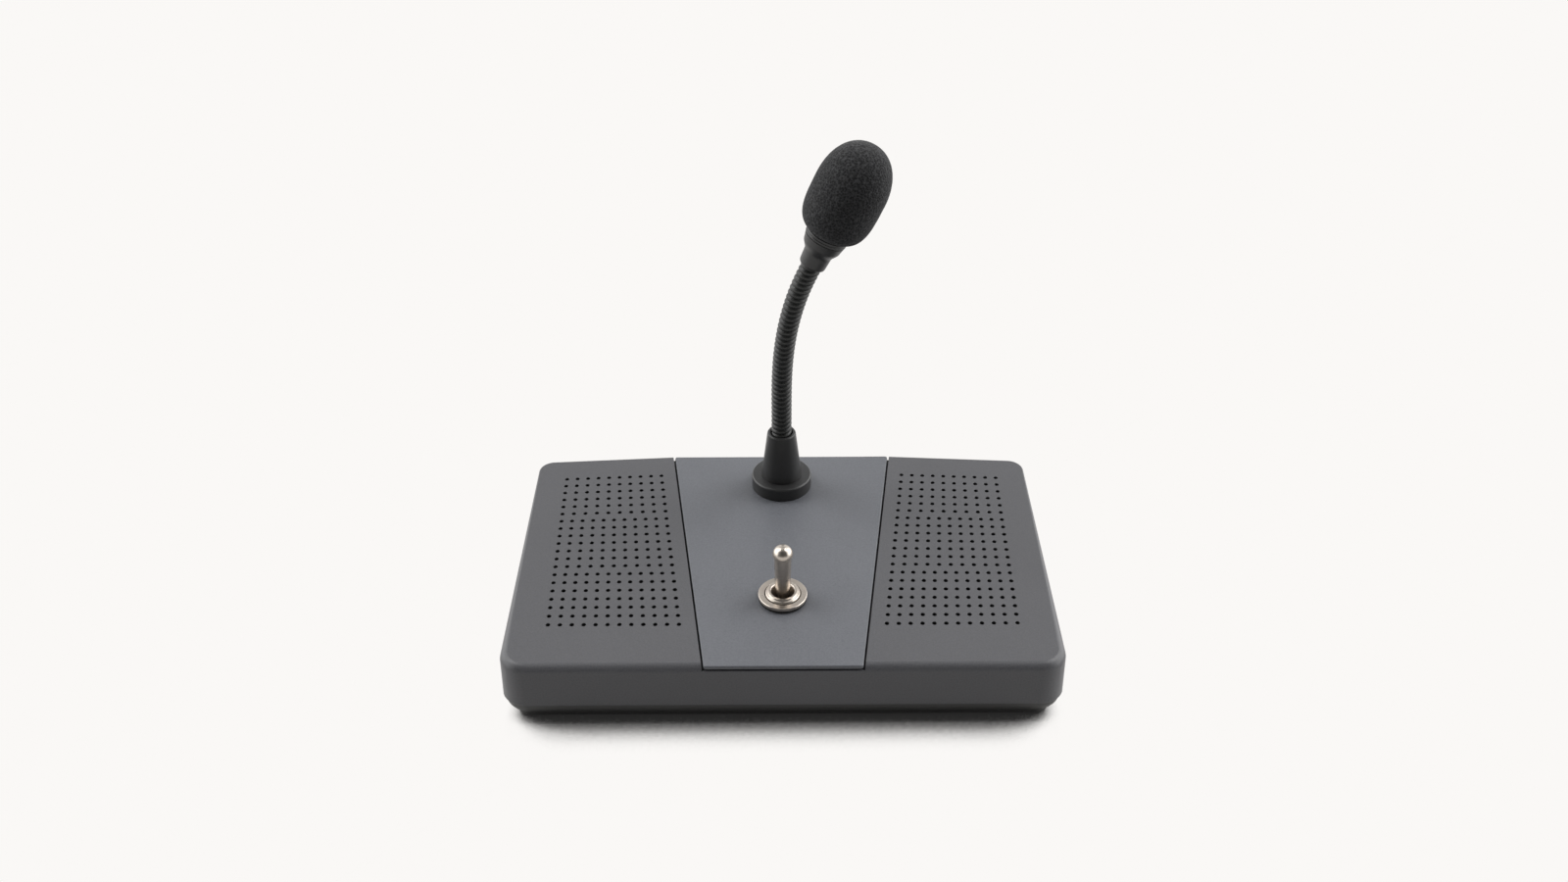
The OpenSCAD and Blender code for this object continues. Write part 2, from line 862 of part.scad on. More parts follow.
module speaker_screws() {
    color("#9a9a98")
        for (side = [-1, 1])
            on_speaker(side)
                for (spot = speaker_screw_spots)
                    translate([spot.x, spot.y, -speaker_seat - speaker_flange_t])
                        screw_up(speaker_flange_t + speaker_screw_reach);
}

module circuit_board() {
    color("#1f4a32")
        difference() {
            translate([-board_w / 2, board_rear_y - board_d, board_z])
                cube([board_w, board_d, board_t]);
            for (spot = board_spots)
                translate([spot.x, spot.y, board_z - cut])
                    cylinder(d = screw_d + 2 * slip_clear, h = board_t + 2 * cut);
        }
}

module board_screws() {
    color("#9a9a98")
        for (spot = board_spots)
            translate([spot.x, spot.y, board_top_z])
                mirror([0, 0, 1])
                    screw_up(board_screw_l - end_clear);
}

// Amplifier on its heat spreader
module amplifier_chip() {
    color("#202224")
        translate([-board_w / 2 + chip_edge, board_mid_y - chip.y / 2, board_top_z]) {
            cube(chip);
            translate([(chip.x - spreader.x) / 2, chip.y, 0])
                cube(spreader);
        }
}

module capacitors() {
    color("#26282c")
        for (i = [0:capacitor_count - 1])
            translate([board_w / 2 - capacitor_edge, board_mid_y + (i - 0.5) * capacitor_pitch, board_top_z])
                cylinder(d = capacitor_d, h = capacitor_h);
}

// Headers that the leads of the speakers, the switch and the microphone plug into
module wire_headers() {
    color("#d8d3c4")
        for (i = [-1, 0, 1])
            translate([i * header_pitch - header.x / 2, board_rear_y - board_d + header_edge, board_top_z])
                difference() {
                    cube(header);
                    translate([header_wall, header_wall, header_wall])
                        cube([header.x - 2 * header_wall, header.y - 2 * header_wall, header.z]);
                }
}

module link_socket() {
    color("#161617")
        translate([0, body_d / 2, board_top_z])
            difference() {
                translate([-link_w / 2, -link_d, 0])
                    cube([link_w, link_d, link_h]);
                translate([-link_open_w / 2, -link_open_d, link_floor])
                    cube([link_open_w, 2 * link_open_d, link_open_h]);
                translate([-latch_w / 2, -link_open_d, link_floor])
                    cube([latch_w, 2 * link_open_d, link_open_h + latch_h]);
            }
}

module switch_case() {
    color("#5a2f22")
        on_top(switch_v)
            difference() {
                translate([-case_w / 2, -case_l / 2, -case_top - case_h])
                    cube([case_w, case_l, case_h]);
                translate([0, 0, -case_top - bushing_seat])
                    cylinder(d = bushing_d + 2 * press_clear, h = 2 * bushing_seat);
                translate([-tail_slot_w / 2, -throw_slot / 2, -pivot_depth - tail_l - tail_clear])
                    cube([tail_slot_w, throw_slot, tail_l]);
            }
}

module switch_terminals() {
    color("#c9c2ae")
        on_top(switch_v)
            for (x = [-1, 1], y = [-1, 0, 1])
                translate([x * terminal_row / 2, y * terminal_pitch, -case_top - case_h - terminal_l])
                    translate([-terminal_t / 2, -terminal_w / 2, 0])
                        cube([terminal_t, terminal_w, terminal_l]);
}

// Threaded barrel with the seat of the lever's ball and an open mouth
module switch_bushing() {
    seat_d = lever_ball_d + 2 * ball_clear;
    throat_n = lever_ball_d / 5;
    color("#c7c3bf")
        on_top(switch_v)
            difference() {
                union() {
                    translate([0, 0, -case_top - bushing_seat])
                        cylinder(
                            d = bushing_d,
                            h = case_top + bushing_seat + bushing_stand - bushing_chamfer
                        );
                    translate([0, 0, bushing_stand - bushing_chamfer])
                        cylinder(d1 = bushing_d, d2 = bushing_d - 2 * bushing_chamfer, h = bushing_chamfer);
                }
                translate([0, 0, -case_top - bushing_seat - cut])
                    cylinder(d = seat_d + ball_clear, h = case_top + bushing_seat + cut - pivot_depth);
                translate([0, 0, -pivot_depth])
                    sphere(d = seat_d);
                translate([0, 0, throat_n - pivot_depth])
                    cylinder(
                        d1 = bushing_throat_d,
                        d2 = bushing_mouth_d,
                        h = bushing_stand + pivot_depth - throat_n + skim
                    );
                translate([-bushing_d, 0, -pivot_depth])
                    rotate([0, 90, 0])
                        cylinder(d = pivot_pin_d + 2 * skim, h = 2 * bushing_d);
            }
}

module switch_washer() {
    color("#b9b5ae")
        on_top(switch_v)
            translate([0, 0, -panel_t - washer_t])
                washer(bushing_d + 2 * washer_rim, bushing_d, washer_t);
}

module switch_nut() {
    color("#b9b5ae")
        on_top(switch_v)
            translate([0, 0, -panel_t - washer_t])
                nut(bushing_d, switch_nut_t);
}

module switch_dress_ring() {
    rim = 0.5;
    color("#c7c3bf")
        on_top(switch_v)
            rotate_extrude()
                polygon([
                    [bushing_d / 2 + press_clear, 0],
                    [ring_d / 2, 0],
                    [ring_d / 2, ring_t - rim],
                    [ring_d / 2 - rim, ring_t],
                    [bushing_d / 2 + press_clear, ring_t]
                ]);
}

module switch_pivot_pin() {
    color("#8d8a86")
        on_top(switch_v)
            translate([-bushing_d / 2 + slip_clear, 0, -pivot_depth])
                rotate([0, 90, 0])
                    cylinder(d = pivot_pin_d, h = bushing_d - 2 * slip_clear);
}

// Bat-shaped lever on its ball, with the tail that works the contacts
module switch_lever() {
    color("#b8b1a6")
        on_top(switch_v)
            translate([0, 0, -pivot_depth])
                difference() {
                    union() {
                        sphere(d = lever_ball_d);
                        cylinder(d = lever_root_d, h = pivot_depth + lever_root_h);
                        translate([0, 0, pivot_depth + lever_root_h])
                            cylinder(d1 = lever_root_d, d2 = lever_waist_d, h = lever_waist_h - lever_root_h);
                        translate([0, 0, pivot_depth + lever_waist_h])
                            cylinder(d1 = lever_waist_d, d2 = lever_neck_d, h = lever_stand - lever_waist_h);
                        translate([0, 0, pivot_depth + lever_stand])
                            sphere(d = lever_tip_d);
                        translate([0, 0, -tail_l])
                            cylinder(d = tail_d, h = tail_l);
                    }
                    translate([-bushing_d, 0, 0])
                        rotate([0, 90, 0])
                            cylinder(d = pivot_pin_d + 2 * press_clear, h = 2 * bushing_d);
                }
}

module neck_flange() {
    rim = 0.4;
    color("#2a2a2b")
        on_top(neck_v)
            rotate_extrude()
                polygon([
                    [stud_d / 2 + press_clear, 0],
                    [flange_d / 2, 0],
                    [flange_d / 2, flange_t - rim],
                    [flange_d / 2 - rim, flange_t],
                    [stud_d / 2 + press_clear, flange_t]
                ]);
}

// Tapered socket with a creased foot, the neck's bore and the stud that holds it to the panel
module neck_socket() {
    rim = 0.6;
    crease = 0.15;
    foot_part = socket_foot_h / (socket_h - rim - flange_t);
    foot_r = blend(socket_d, socket_rim_d, foot_part) / 2;
    color("#2c2d2c")
        on_top(neck_v)
            rotate_extrude()
                polygon([
                    [lead_d / 2, -stud_end],
                    [stud_d / 2, -stud_end],
                    [stud_d / 2, flange_t],
                    [socket_d / 2, flange_t],
                    [foot_r + crease, flange_t + socket_foot_h],
                    [foot_r, flange_t + socket_foot_h],
                    [socket_rim_d / 2, socket_h - rim],
                    [socket_rim_d / 2 - rim / 2, socket_h],
                    [socket_bore_d / 2, socket_h],
                    [socket_bore_d / 2, socket_bore_n],
                    [lead_d / 2, socket_bore_n]
                ]);
}

module neck_washer() {
    color("#b9b5ae")
        on_top(neck_v)
            translate([0, 0, -panel_t - neck_washer_t])
                washer(neck_washer_d, stud_d, neck_washer_t);
}

module neck_nut() {
    color("#b9b5ae")
        on_top(neck_v)
            translate([0, 0, -panel_t - neck_washer_t])
                nut(stud_d, neck_nut_t);
}

// One ribbed link of the gooseneck: a dish below, ribs, and a dome above for the next link.
// The lowest link stands in the socket on a ferrule, and the last one ends in a spigot for the holder.
module neck_link(i) {
    first = i == 0;
    last = i == link_count;
    rib_base = joint_half + rib_r;
    foot_w = first ? socket_bore_n - first_joint_n + link_len : joint_half;
    ribs_below = first ? floor((first_joint_n - socket_bore_n - ferrule_h) / rib_pitch) - ribs_per_link : 0;
    core_top = last ? holder_w + spigot_l : link_len - joint_half;
    color("#242424")
        on_link_or_socket(i)
            rotate_extrude()
                difference() {
                    union() {
                        translate([0, foot_w])
                            square([neck_core_r, core_top - foot_w]);
                        for (rib = [-ribs_below:ribs_per_link - 1])
                            translate([neck_d / 2 - rib_r, rib_base + rib * rib_pitch])
                                circle(rib_r, $fn = 24);
                        if (first)
                            translate([0, foot_w])
                                square([socket_bore_d / 2 - press_clear, ferrule_h]);
                        if (!last)
                            translate([0, link_len])
                                circle(dome_r);
                    }
                    translate([-neck_d, -link_len * 2])
                        square([neck_d + lead_d / 2, link_len * 6]);
                    if (!first)
                        circle(dish_r);
                }
}

module on_link_or_socket(i) {
    if (i == 0)
        on_top(neck_v)
            translate([0, 0, first_joint_n - link_len])
                children();
    else
        on_link(i)
            children();
}

// Flared holder with two turned grooves, and the stem that carries the capsule inside the windscreen
module mic_holder() {
    collar_r = collar_d / 2;
    waist_r = collar_r + waist_rise;
    rim_r = holder_d / 2;
    flare_to = grooves_w - band_h;
    color("#2f2f2f")
        on_link(link_count)
            translate([0, 0, holder_w])
                rotate_extrude()
                    difference() {
                        union() {
                            translate([0, collar_round])
                                square([collar_r, collar_round]);
                            square([collar_r - collar_round, 2 * collar_round]);
                            translate([collar_r - collar_round, collar_round])
                                circle(collar_round);
                            polygon(concat(
                                [[0, collar_round], [collar_r, collar_round]],
                                [
                                    for (k = [0:flare_steps])
                                        let (t = k / flare_steps)
                                        [
                                            blend(waist_r, rim_r - flare_in, t * t * (3 - 2 * t)),
                                            blend(flare_from, flare_to, t)
                                        ]
                                ],
                                [
                                    [rim_r - band_in, grooves_w],
                                    [rim_r - band_in - groove_depth, grooves_w],
                                    [rim_r - band_in - groove_depth, grooves_w + groove_h],
                                    [rim_r - band_in / 2, grooves_w + groove_h],
                                    [rim_r - band_in / 2, grooves_w + groove_h + ring_h],
                                    [rim_r - groove_depth, grooves_w + groove_h + ring_h],
                                    [rim_r - groove_depth, holder_l - ring_h],
                                    [rim_r, holder_l - ring_h],
                                    [rim_r, holder_l],
                                    [stem_d / 2, holder_l],
                                    [stem_d / 2, holder_l + stem_l],
                                    [0, holder_l + stem_l]
                                ]
                            ));
                        }
                        translate([-holder_d, -cut])
                            square([holder_d + lead_d / 2, holder_l + stem_l + 2 * cut]);
                        translate([-holder_d, -cut])
                            square([holder_d + neck_core_r + press_clear, cut + spigot_l]);
                        translate([-holder_d, holder_l + stem_l - capsule_h])
                            square([holder_d + cup_d / 2, capsule_h + cut]);
                    }
}

module mic_capsule() {
    color("#a9a8a4")
        on_link(link_count)
            translate([0, 0, stem_top_w - capsule_h])
                cylinder(d = capsule_d, h = capsule_h);
}

// Perforated cap that closes the stem over the capsule
module capsule_cap() {
    color("#3a3a3b")
        on_link(link_count)
            translate([0, 0, stem_top_w])
                difference() {
                    cylinder(d = stem_d, h = cap_t);
                    for (a = [0:60:300])
                        rotate(a)
                            translate([stem_d / 4, 0, -cap_t])
                                cylinder(d = vent_d, h = 3 * cap_t, $fn = 24);
                    translate([0, 0, -cap_t])
                        cylinder(d = vent_d, h = 3 * cap_t, $fn = 24);
                }
}

// Egg-shaped foam with a flat lower end and the hollow for the stem
module windscreen() {
    half = (foam_l + foam_cut) / 2;
    color("#202021")
        on_link(link_count)
            translate([0, 0, holder_top_w])
                rotate_extrude()
                    difference() {
                        translate([0, half - foam_cut])
                            polygon([
                                for (k = [0:foam_steps])
                                    let (a = 180 * k / foam_steps - 90)
                                    let (power = a < 0 ? foam_foot_power : foam_top_power)
                                    [
                                        foam_d / 2 * pow(abs(cos(a)), 2 / power),
                                        half * sign(a) * pow(abs(sin(a)), 2 / power)
                                    ]
                            ]);
                        translate([-foam_d, -foam_l])
                            square([2 * foam_d, foam_l]);
                        translate([-foam_d, -foam_l])
                            square([foam_d + stem_d / 2 + slip_clear, foam_l + stem_l + cap_t + slip_clear]);
                    }
}

upper_housing();
lower_housing();
control_panel();
rubber_feet();
housing_screws();
panel_screws();
grille_cloth(-1);  // left_grille_cloth
grille_cloth(1);  // right_grille_cloth
speaker_gasket(-1);  // left_speaker_gasket
speaker_gasket(1);  // right_speaker_gasket
speaker_frame(-1);  // left_speaker_frame
speaker_frame(1);  // right_speaker_frame
speaker_cone(-1);  // left_speaker_cone
speaker_cone(1);  // right_speaker_cone
speaker_magnet(-1);  // left_speaker_magnet
speaker_magnet(1);  // right_speaker_magnet
speaker_screws();
circuit_board();
board_screws();
amplifier_chip();
capacitors();
wire_headers();
link_socket();
switch_case();
switch_terminals();
switch_bushing();
switch_washer();
switch_nut();
switch_dress_ring();
switch_pivot_pin();
switch_lever();
neck_flange();
neck_socket();
neck_washer();
neck_nut();
for (i = [0:link_count])
    neck_link(i);
mic_holder();
mic_capsule();
capsule_cap();
windscreen();
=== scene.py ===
import json
import math

import bmesh
import bpy
from mathutils import Matrix, Vector, noise


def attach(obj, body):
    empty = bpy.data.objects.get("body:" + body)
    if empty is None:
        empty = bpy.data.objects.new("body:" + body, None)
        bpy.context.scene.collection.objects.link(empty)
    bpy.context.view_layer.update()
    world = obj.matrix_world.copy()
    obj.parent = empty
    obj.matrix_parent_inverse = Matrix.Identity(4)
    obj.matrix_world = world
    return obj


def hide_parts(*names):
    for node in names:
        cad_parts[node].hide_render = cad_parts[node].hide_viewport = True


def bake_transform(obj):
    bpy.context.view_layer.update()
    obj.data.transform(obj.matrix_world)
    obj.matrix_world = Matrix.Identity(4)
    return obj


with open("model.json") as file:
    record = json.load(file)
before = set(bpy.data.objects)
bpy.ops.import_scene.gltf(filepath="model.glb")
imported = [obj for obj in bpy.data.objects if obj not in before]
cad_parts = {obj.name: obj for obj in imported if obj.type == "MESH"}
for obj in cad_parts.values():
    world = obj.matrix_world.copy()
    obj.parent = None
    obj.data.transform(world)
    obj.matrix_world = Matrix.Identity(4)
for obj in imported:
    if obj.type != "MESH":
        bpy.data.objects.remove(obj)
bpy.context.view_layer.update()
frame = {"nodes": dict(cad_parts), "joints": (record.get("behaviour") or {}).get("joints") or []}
nodes = frame["nodes"]
joints = {joint["name"]: joint for joint in frame["joints"]}
scene = bpy.context.scene
mm = 0.001
weldDist = 0.001 * mm  # points closer than this are one point
levelDist = 0.002 * mm  # points this close to a level lie on it
print("frame loaded,", len(nodes), "nodes")


# Small helpers

# sRGB hex to linear colour
def linear(hexColour):
    channels = [int(hexColour[i:i + 2], 16) / 255 for i in (1, 3, 5)]
    return tuple(c / 12.92 if c <= 0.04045 else ((c + 0.055) / 1.055) ** 2.4 for c in channels) + (1.0,)


def perMetre(sizeMm):
    return 1000 / sizeMm  # texture scale for a feature of that real size


def addNode(tree, kind, sockets=None, **settings):
    node = tree.nodes.new(kind)
    for name, value in settings.items():
        setattr(node, name, value)
    for name, value in (sockets or {}).items():
        if isinstance(value, bpy.types.NodeSocket):
            tree.links.new(value, node.inputs[name])
        else:
            node.inputs[name].default_value = value
    return node


def startMaterial(name):
    material = bpy.data.materials.new(name)
    material.use_nodes = True
    tree = material.node_tree
    tree.nodes.clear()
    output = addNode(tree, "ShaderNodeOutputMaterial")
    return material, tree, output


def weld(bm):
    bmesh.ops.remove_doubles(bm, verts=bm.verts, dist=weldDist)
    bmesh.ops.recalc_face_normals(bm, faces=bm.faces)


def breakEdges(bm, edges, sizeMm, segments, clamp=True):
    bmesh.ops.bevel(bm, geom=edges, offset=sizeMm * mm, offset_type="OFFSET", segments=segments, profile=0.5,
                    affect="EDGES", material=-1, clamp_overlap=clamp)


# A profile of (radius, height) pairs in mm, turned about z
def lathe(profile, steps):
    bm = bmesh.new()
    points = [bm.verts.new((r * mm, 0, w * mm)) for r, w in profile]
    edges = [bm.edges.new(pair) for pair in zip(points, points[1:])]
    bmesh.ops.spin(bm, geom=points + edges, axis=(0, 0, 1), cent=(0, 0, 0), dvec=(0, 0, 0),
                   angle=math.tau, steps=steps, use_merge=True)
    return bm


# A CAD mesh with its loose triangles joined
def copyNode(name):
    bm = bmesh.new()
    bm.from_mesh(nodes[name].data)
    bmesh.ops.remove_doubles(bm, verts=bm.verts, dist=weldDist)
    bm.normal_update()
    return bm


def finishPiece(bm, name, body, finish, replaced=(), sharpDeg=35):
    weld(bm)
    for face in bm.faces:
        face.smooth = True
    for edge in bm.edges:
        edge.smooth = len(edge.link_faces) == 2 and edge.calc_face_angle(0) < math.radians(sharpDeg)
    mesh = bpy.data.meshes.new(name)
    bm.to_mesh(mesh)
    bm.free()
    mesh.materials.append(finishes[finish])
    piece = bpy.data.objects.new(name, mesh)
    scene.collection.objects.link(piece)
    if body:
        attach(piece, body)
    if replaced:
        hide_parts(*replaced)
    return piece


# Keeps large faces flat beside their broken edges
def evenNormals(piece):
    even = piece.modifiers.new("evenNormals", "WEIGHTED_NORMAL")
    even.keep_sharp = True
    even.weight = 100


# The sloping top's own frame: x across, v up the slope, z out of it

top = {"slopeDeg": 8, "frontHeight": 22, "depth": 112}
slope = math.radians(top["slopeDeg"])
topMiddle = top["frontHeight"] + top["depth"] / 2 * math.tan(slope)
frontV = -top["depth"] / 2 / math.cos(slope)
rearV = -frontV


def onTop(v=0.0):
    place = Matrix.Translation((0, 0, topMiddle * mm)) @ Matrix.Rotation(slope, 4, "X")
    return place @ Matrix.Translation((0, v * mm, 0))


toTop = onTop().inverted()
upSlope = onTop().to_3x3() @ Vector((0, 1, 0))
outward = onTop().to_3x3() @ Vector((0, 0, 1))


# Materials

# Moulded, painted or pressed: satin to matt with a fine grain, drawn coarser than it is so that it shows
graining = {"driftDetail": 3.0, "grainDetail": 4.0, "grainRough": 0.6, "grainShare": 0.6, "ior": 1.53}
noiseSpan = (0.3, 0.7)  # most of a noise lies between these


def grainedFinish(name, look):
    material, tree, output = startMaterial(name)
    coords = addNode(tree, "ShaderNodeTexCoord").outputs["Object"]
    drift = addNode(tree, "ShaderNodeTexNoise", {"Vector": coords, "Scale": perMetre(look["driftMm"]),
                                                 "Detail": graining["driftDetail"]})
    spark = addNode(tree, "ShaderNodeTexNoise", {"Vector": coords, "Scale": perMetre(look["grainMm"]),
                                                 "Detail": graining["grainDetail"],
                                                 "Roughness": graining["grainRough"]})
    grain = addNode(tree, "ShaderNodeMapRange", {"Value": spark.outputs["Fac"], "From Min": noiseSpan[0],
                                                 "From Max": noiseSpan[1]})
    shade = addNode(tree, "ShaderNodeMix", {"Factor": graining["grainShare"], "A": drift.outputs["Fac"],
                                            "B": grain.outputs["Result"]})
    tone = addNode(tree, "ShaderNodeMix", {"Factor": shade.outputs["Result"], "A": linear(look["dark"]),
                                           "B": linear(look["light"])}, data_type="RGBA")
    rough = addNode(tree, "ShaderNodeMapRange", {"Value": spark.outputs["Fac"], "From Min": noiseSpan[0],
                                                 "From Max": noiseSpan[1], "To Min": look["rough"][0],
                                                 "To Max": look["rough"][1]})
    bump = addNode(tree, "ShaderNodeBump", {"Height": spark.outputs["Fac"], "Strength": look["bump"],
                                            "Distance": look["depthMm"] * mm})
    shader = addNode(tree, "ShaderNodeBsdfPrincipled", {"Base Color": tone.outputs["Result"],
                                                        "IOR": graining["ior"],
                                                        "Roughness": rough.outputs["Result"],
                                                        "Normal": bump.outputs["Normal"]})
    tree.links.new(shader.outputs["BSDF"], output.inputs["Surface"])
    return material


# Plated metal: bright and faintly cloudy, with fine turning lines round its axis
plating = {"cloudDetail": 3.0, "lineDetail": 2.0}


def platedFinish(name, look):
    material, tree, output = startMaterial(name)
    coords = addNode(tree, "ShaderNodeTexCoord").outputs["Object"]
    cloud = addNode(tree, "ShaderNodeTexNoise", {"Vector": coords, "Scale": perMetre(look["cloudMm"]),
                                                 "Detail": plating["cloudDetail"]})
    tone = addNode(tree, "ShaderNodeMix", {"Factor": cloud.outputs["Fac"], "A": linear(look["dark"]),
                                           "B": linear(look["light"])}, data_type="RGBA")
    # Squeezed along the axis into lines lineMm / stretch apart
    stretch = addNode(tree, "ShaderNodeMapping", {"Vector": coords, "Rotation": (-slope, 0, 0),
                                                  "Scale": (1, 1, look["stretch"])})
    lines = addNode(tree, "ShaderNodeTexNoise", {"Vector": stretch.outputs["Vector"],
                                                 "Scale": perMetre(look["lineMm"]),
                                                 "Detail": plating["lineDetail"]})
    rough = addNode(tree, "ShaderNodeMapRange", {"Value": lines.outputs["Fac"], "From Min": noiseSpan[0],
                                                 "From Max": noiseSpan[1], "To Min": look["rough"][0],
                                                 "To Max": look["rough"][1]})
    bump = addNode(tree, "ShaderNodeBump", {"Height": lines.outputs["Fac"], "Strength": look["bump"],
                                            "Distance": look["depthMm"] * mm})
    shader = addNode(tree, "ShaderNodeBsdfPrincipled", {"Base Color": tone.outputs["Result"], "Metallic": 1.0,
                                                        "Roughness": rough.outputs["Result"],
                                                        "Normal": bump.outputs["Normal"]})
    tree.links.new(shader.outputs["BSDF"], output.inputs["Surface"])
    return material


# Open-cell foam: a dull black sponge whose cells show as a fine speckle
sponge = {"clumpDetail": 4.0, "poreSpan": (0.05, 0.45), "rough": 1.0, "specular": 0.15, "sheenRough": 0.6}


def cellFoam(name, look):
    material, tree, output = startMaterial(name)
    coords = addNode(tree, "ShaderNodeTexCoord").outputs["Object"]
    cells = addNode(tree, "ShaderNodeTexVoronoi", {"Vector": coords, "Scale": perMetre(look["cellMm"])})
    clumps = addNode(tree, "ShaderNodeTexNoise", {"Vector": coords, "Scale": perMetre(look["clumpMm"]),
                                                  "Detail": sponge["clumpDetail"]})
    pores = addNode(tree, "ShaderNodeMath", {0: cells.outputs["Distance"], 1: clumps.outputs["Fac"]},
                    operation="MULTIPLY")
    spread = addNode(tree, "ShaderNodeMapRange", {"Value": pores.outputs["Value"],
                                                  "From Min": sponge["poreSpan"][0],
                                                  "From Max": sponge["poreSpan"][1]})
    tone = addNode(tree, "ShaderNodeMix", {"Factor": spread.outputs["Result"], "A": linear(look["dark"]),
                                           "B": linear(look["light"])}, data_type="RGBA")
    bump = addNode(tree, "ShaderNodeBump", {"Height": pores.outputs["Value"], "Strength": look["bump"],
                                            "Distance": look["depthMm"] * mm})
    shader = addNode(tree, "ShaderNodeBsdfPrincipled", {"Base Color": tone.outputs["Result"],
                                                        "Roughness": sponge["rough"],
                                                        "Specular IOR Level": sponge["specular"],
                                                        "Sheen Weight": look["sheen"],
                                                        "Sheen Roughness": sponge["sheenRough"],
                                                        "Normal": bump.outputs["Normal"]})
    tree.links.new(shader.outputs["BSDF"], output.inputs["Surface"])
    return material


# Woven cloth: crossed threads, matt
weaving = {"waveRate": 20, "bump": 0.6, "depthMm": 0.1, "rough": 0.95, "specular": 0.1}


def wovenCloth(name, look):
    material, tree, output = startMaterial(name)
    coords = addNode(tree, "ShaderNodeTexCoord").outputs["Object"]
    scale = perMetre(look["threadMm"]) * math.tau / weaving["waveRate"]  # the wave node runs that much faster
    warp = addNode(tree, "ShaderNodeTexWave", {"Vector": coords, "Scale": scale}, bands_direction="X")
    weft = addNode(tree, "ShaderNodeTexWave", {"Vector": coords, "Scale": scale}, bands_direction="Y")
    weave = addNode(tree, "ShaderNodeMath", {0: warp.outputs["Fac"], 1: weft.outputs["Fac"]},
                    operation="MULTIPLY")
    tone = addNode(tree, "ShaderNodeMix", {"Factor": weave.outputs["Value"], "A": linear(look["dark"]),
                                           "B": linear(look["light"])}, data_type="RGBA")
    bump = addNode(tree, "ShaderNodeBump", {"Height": weave.outputs["Value"], "Strength": weaving["bump"],
                                            "Distance": weaving["depthMm"] * mm})
    shader = addNode(tree, "ShaderNodeBsdfPrincipled", {"Base Color": tone.outputs["Result"],
                                                        "Roughness": weaving["rough"],
                                                        "Specular IOR Level": weaving["specular"],
                                                        "Normal": bump.outputs["Normal"]})
    tree.links.new(shader.outputs["BSDF"], output.inputs["Surface"])
    return material


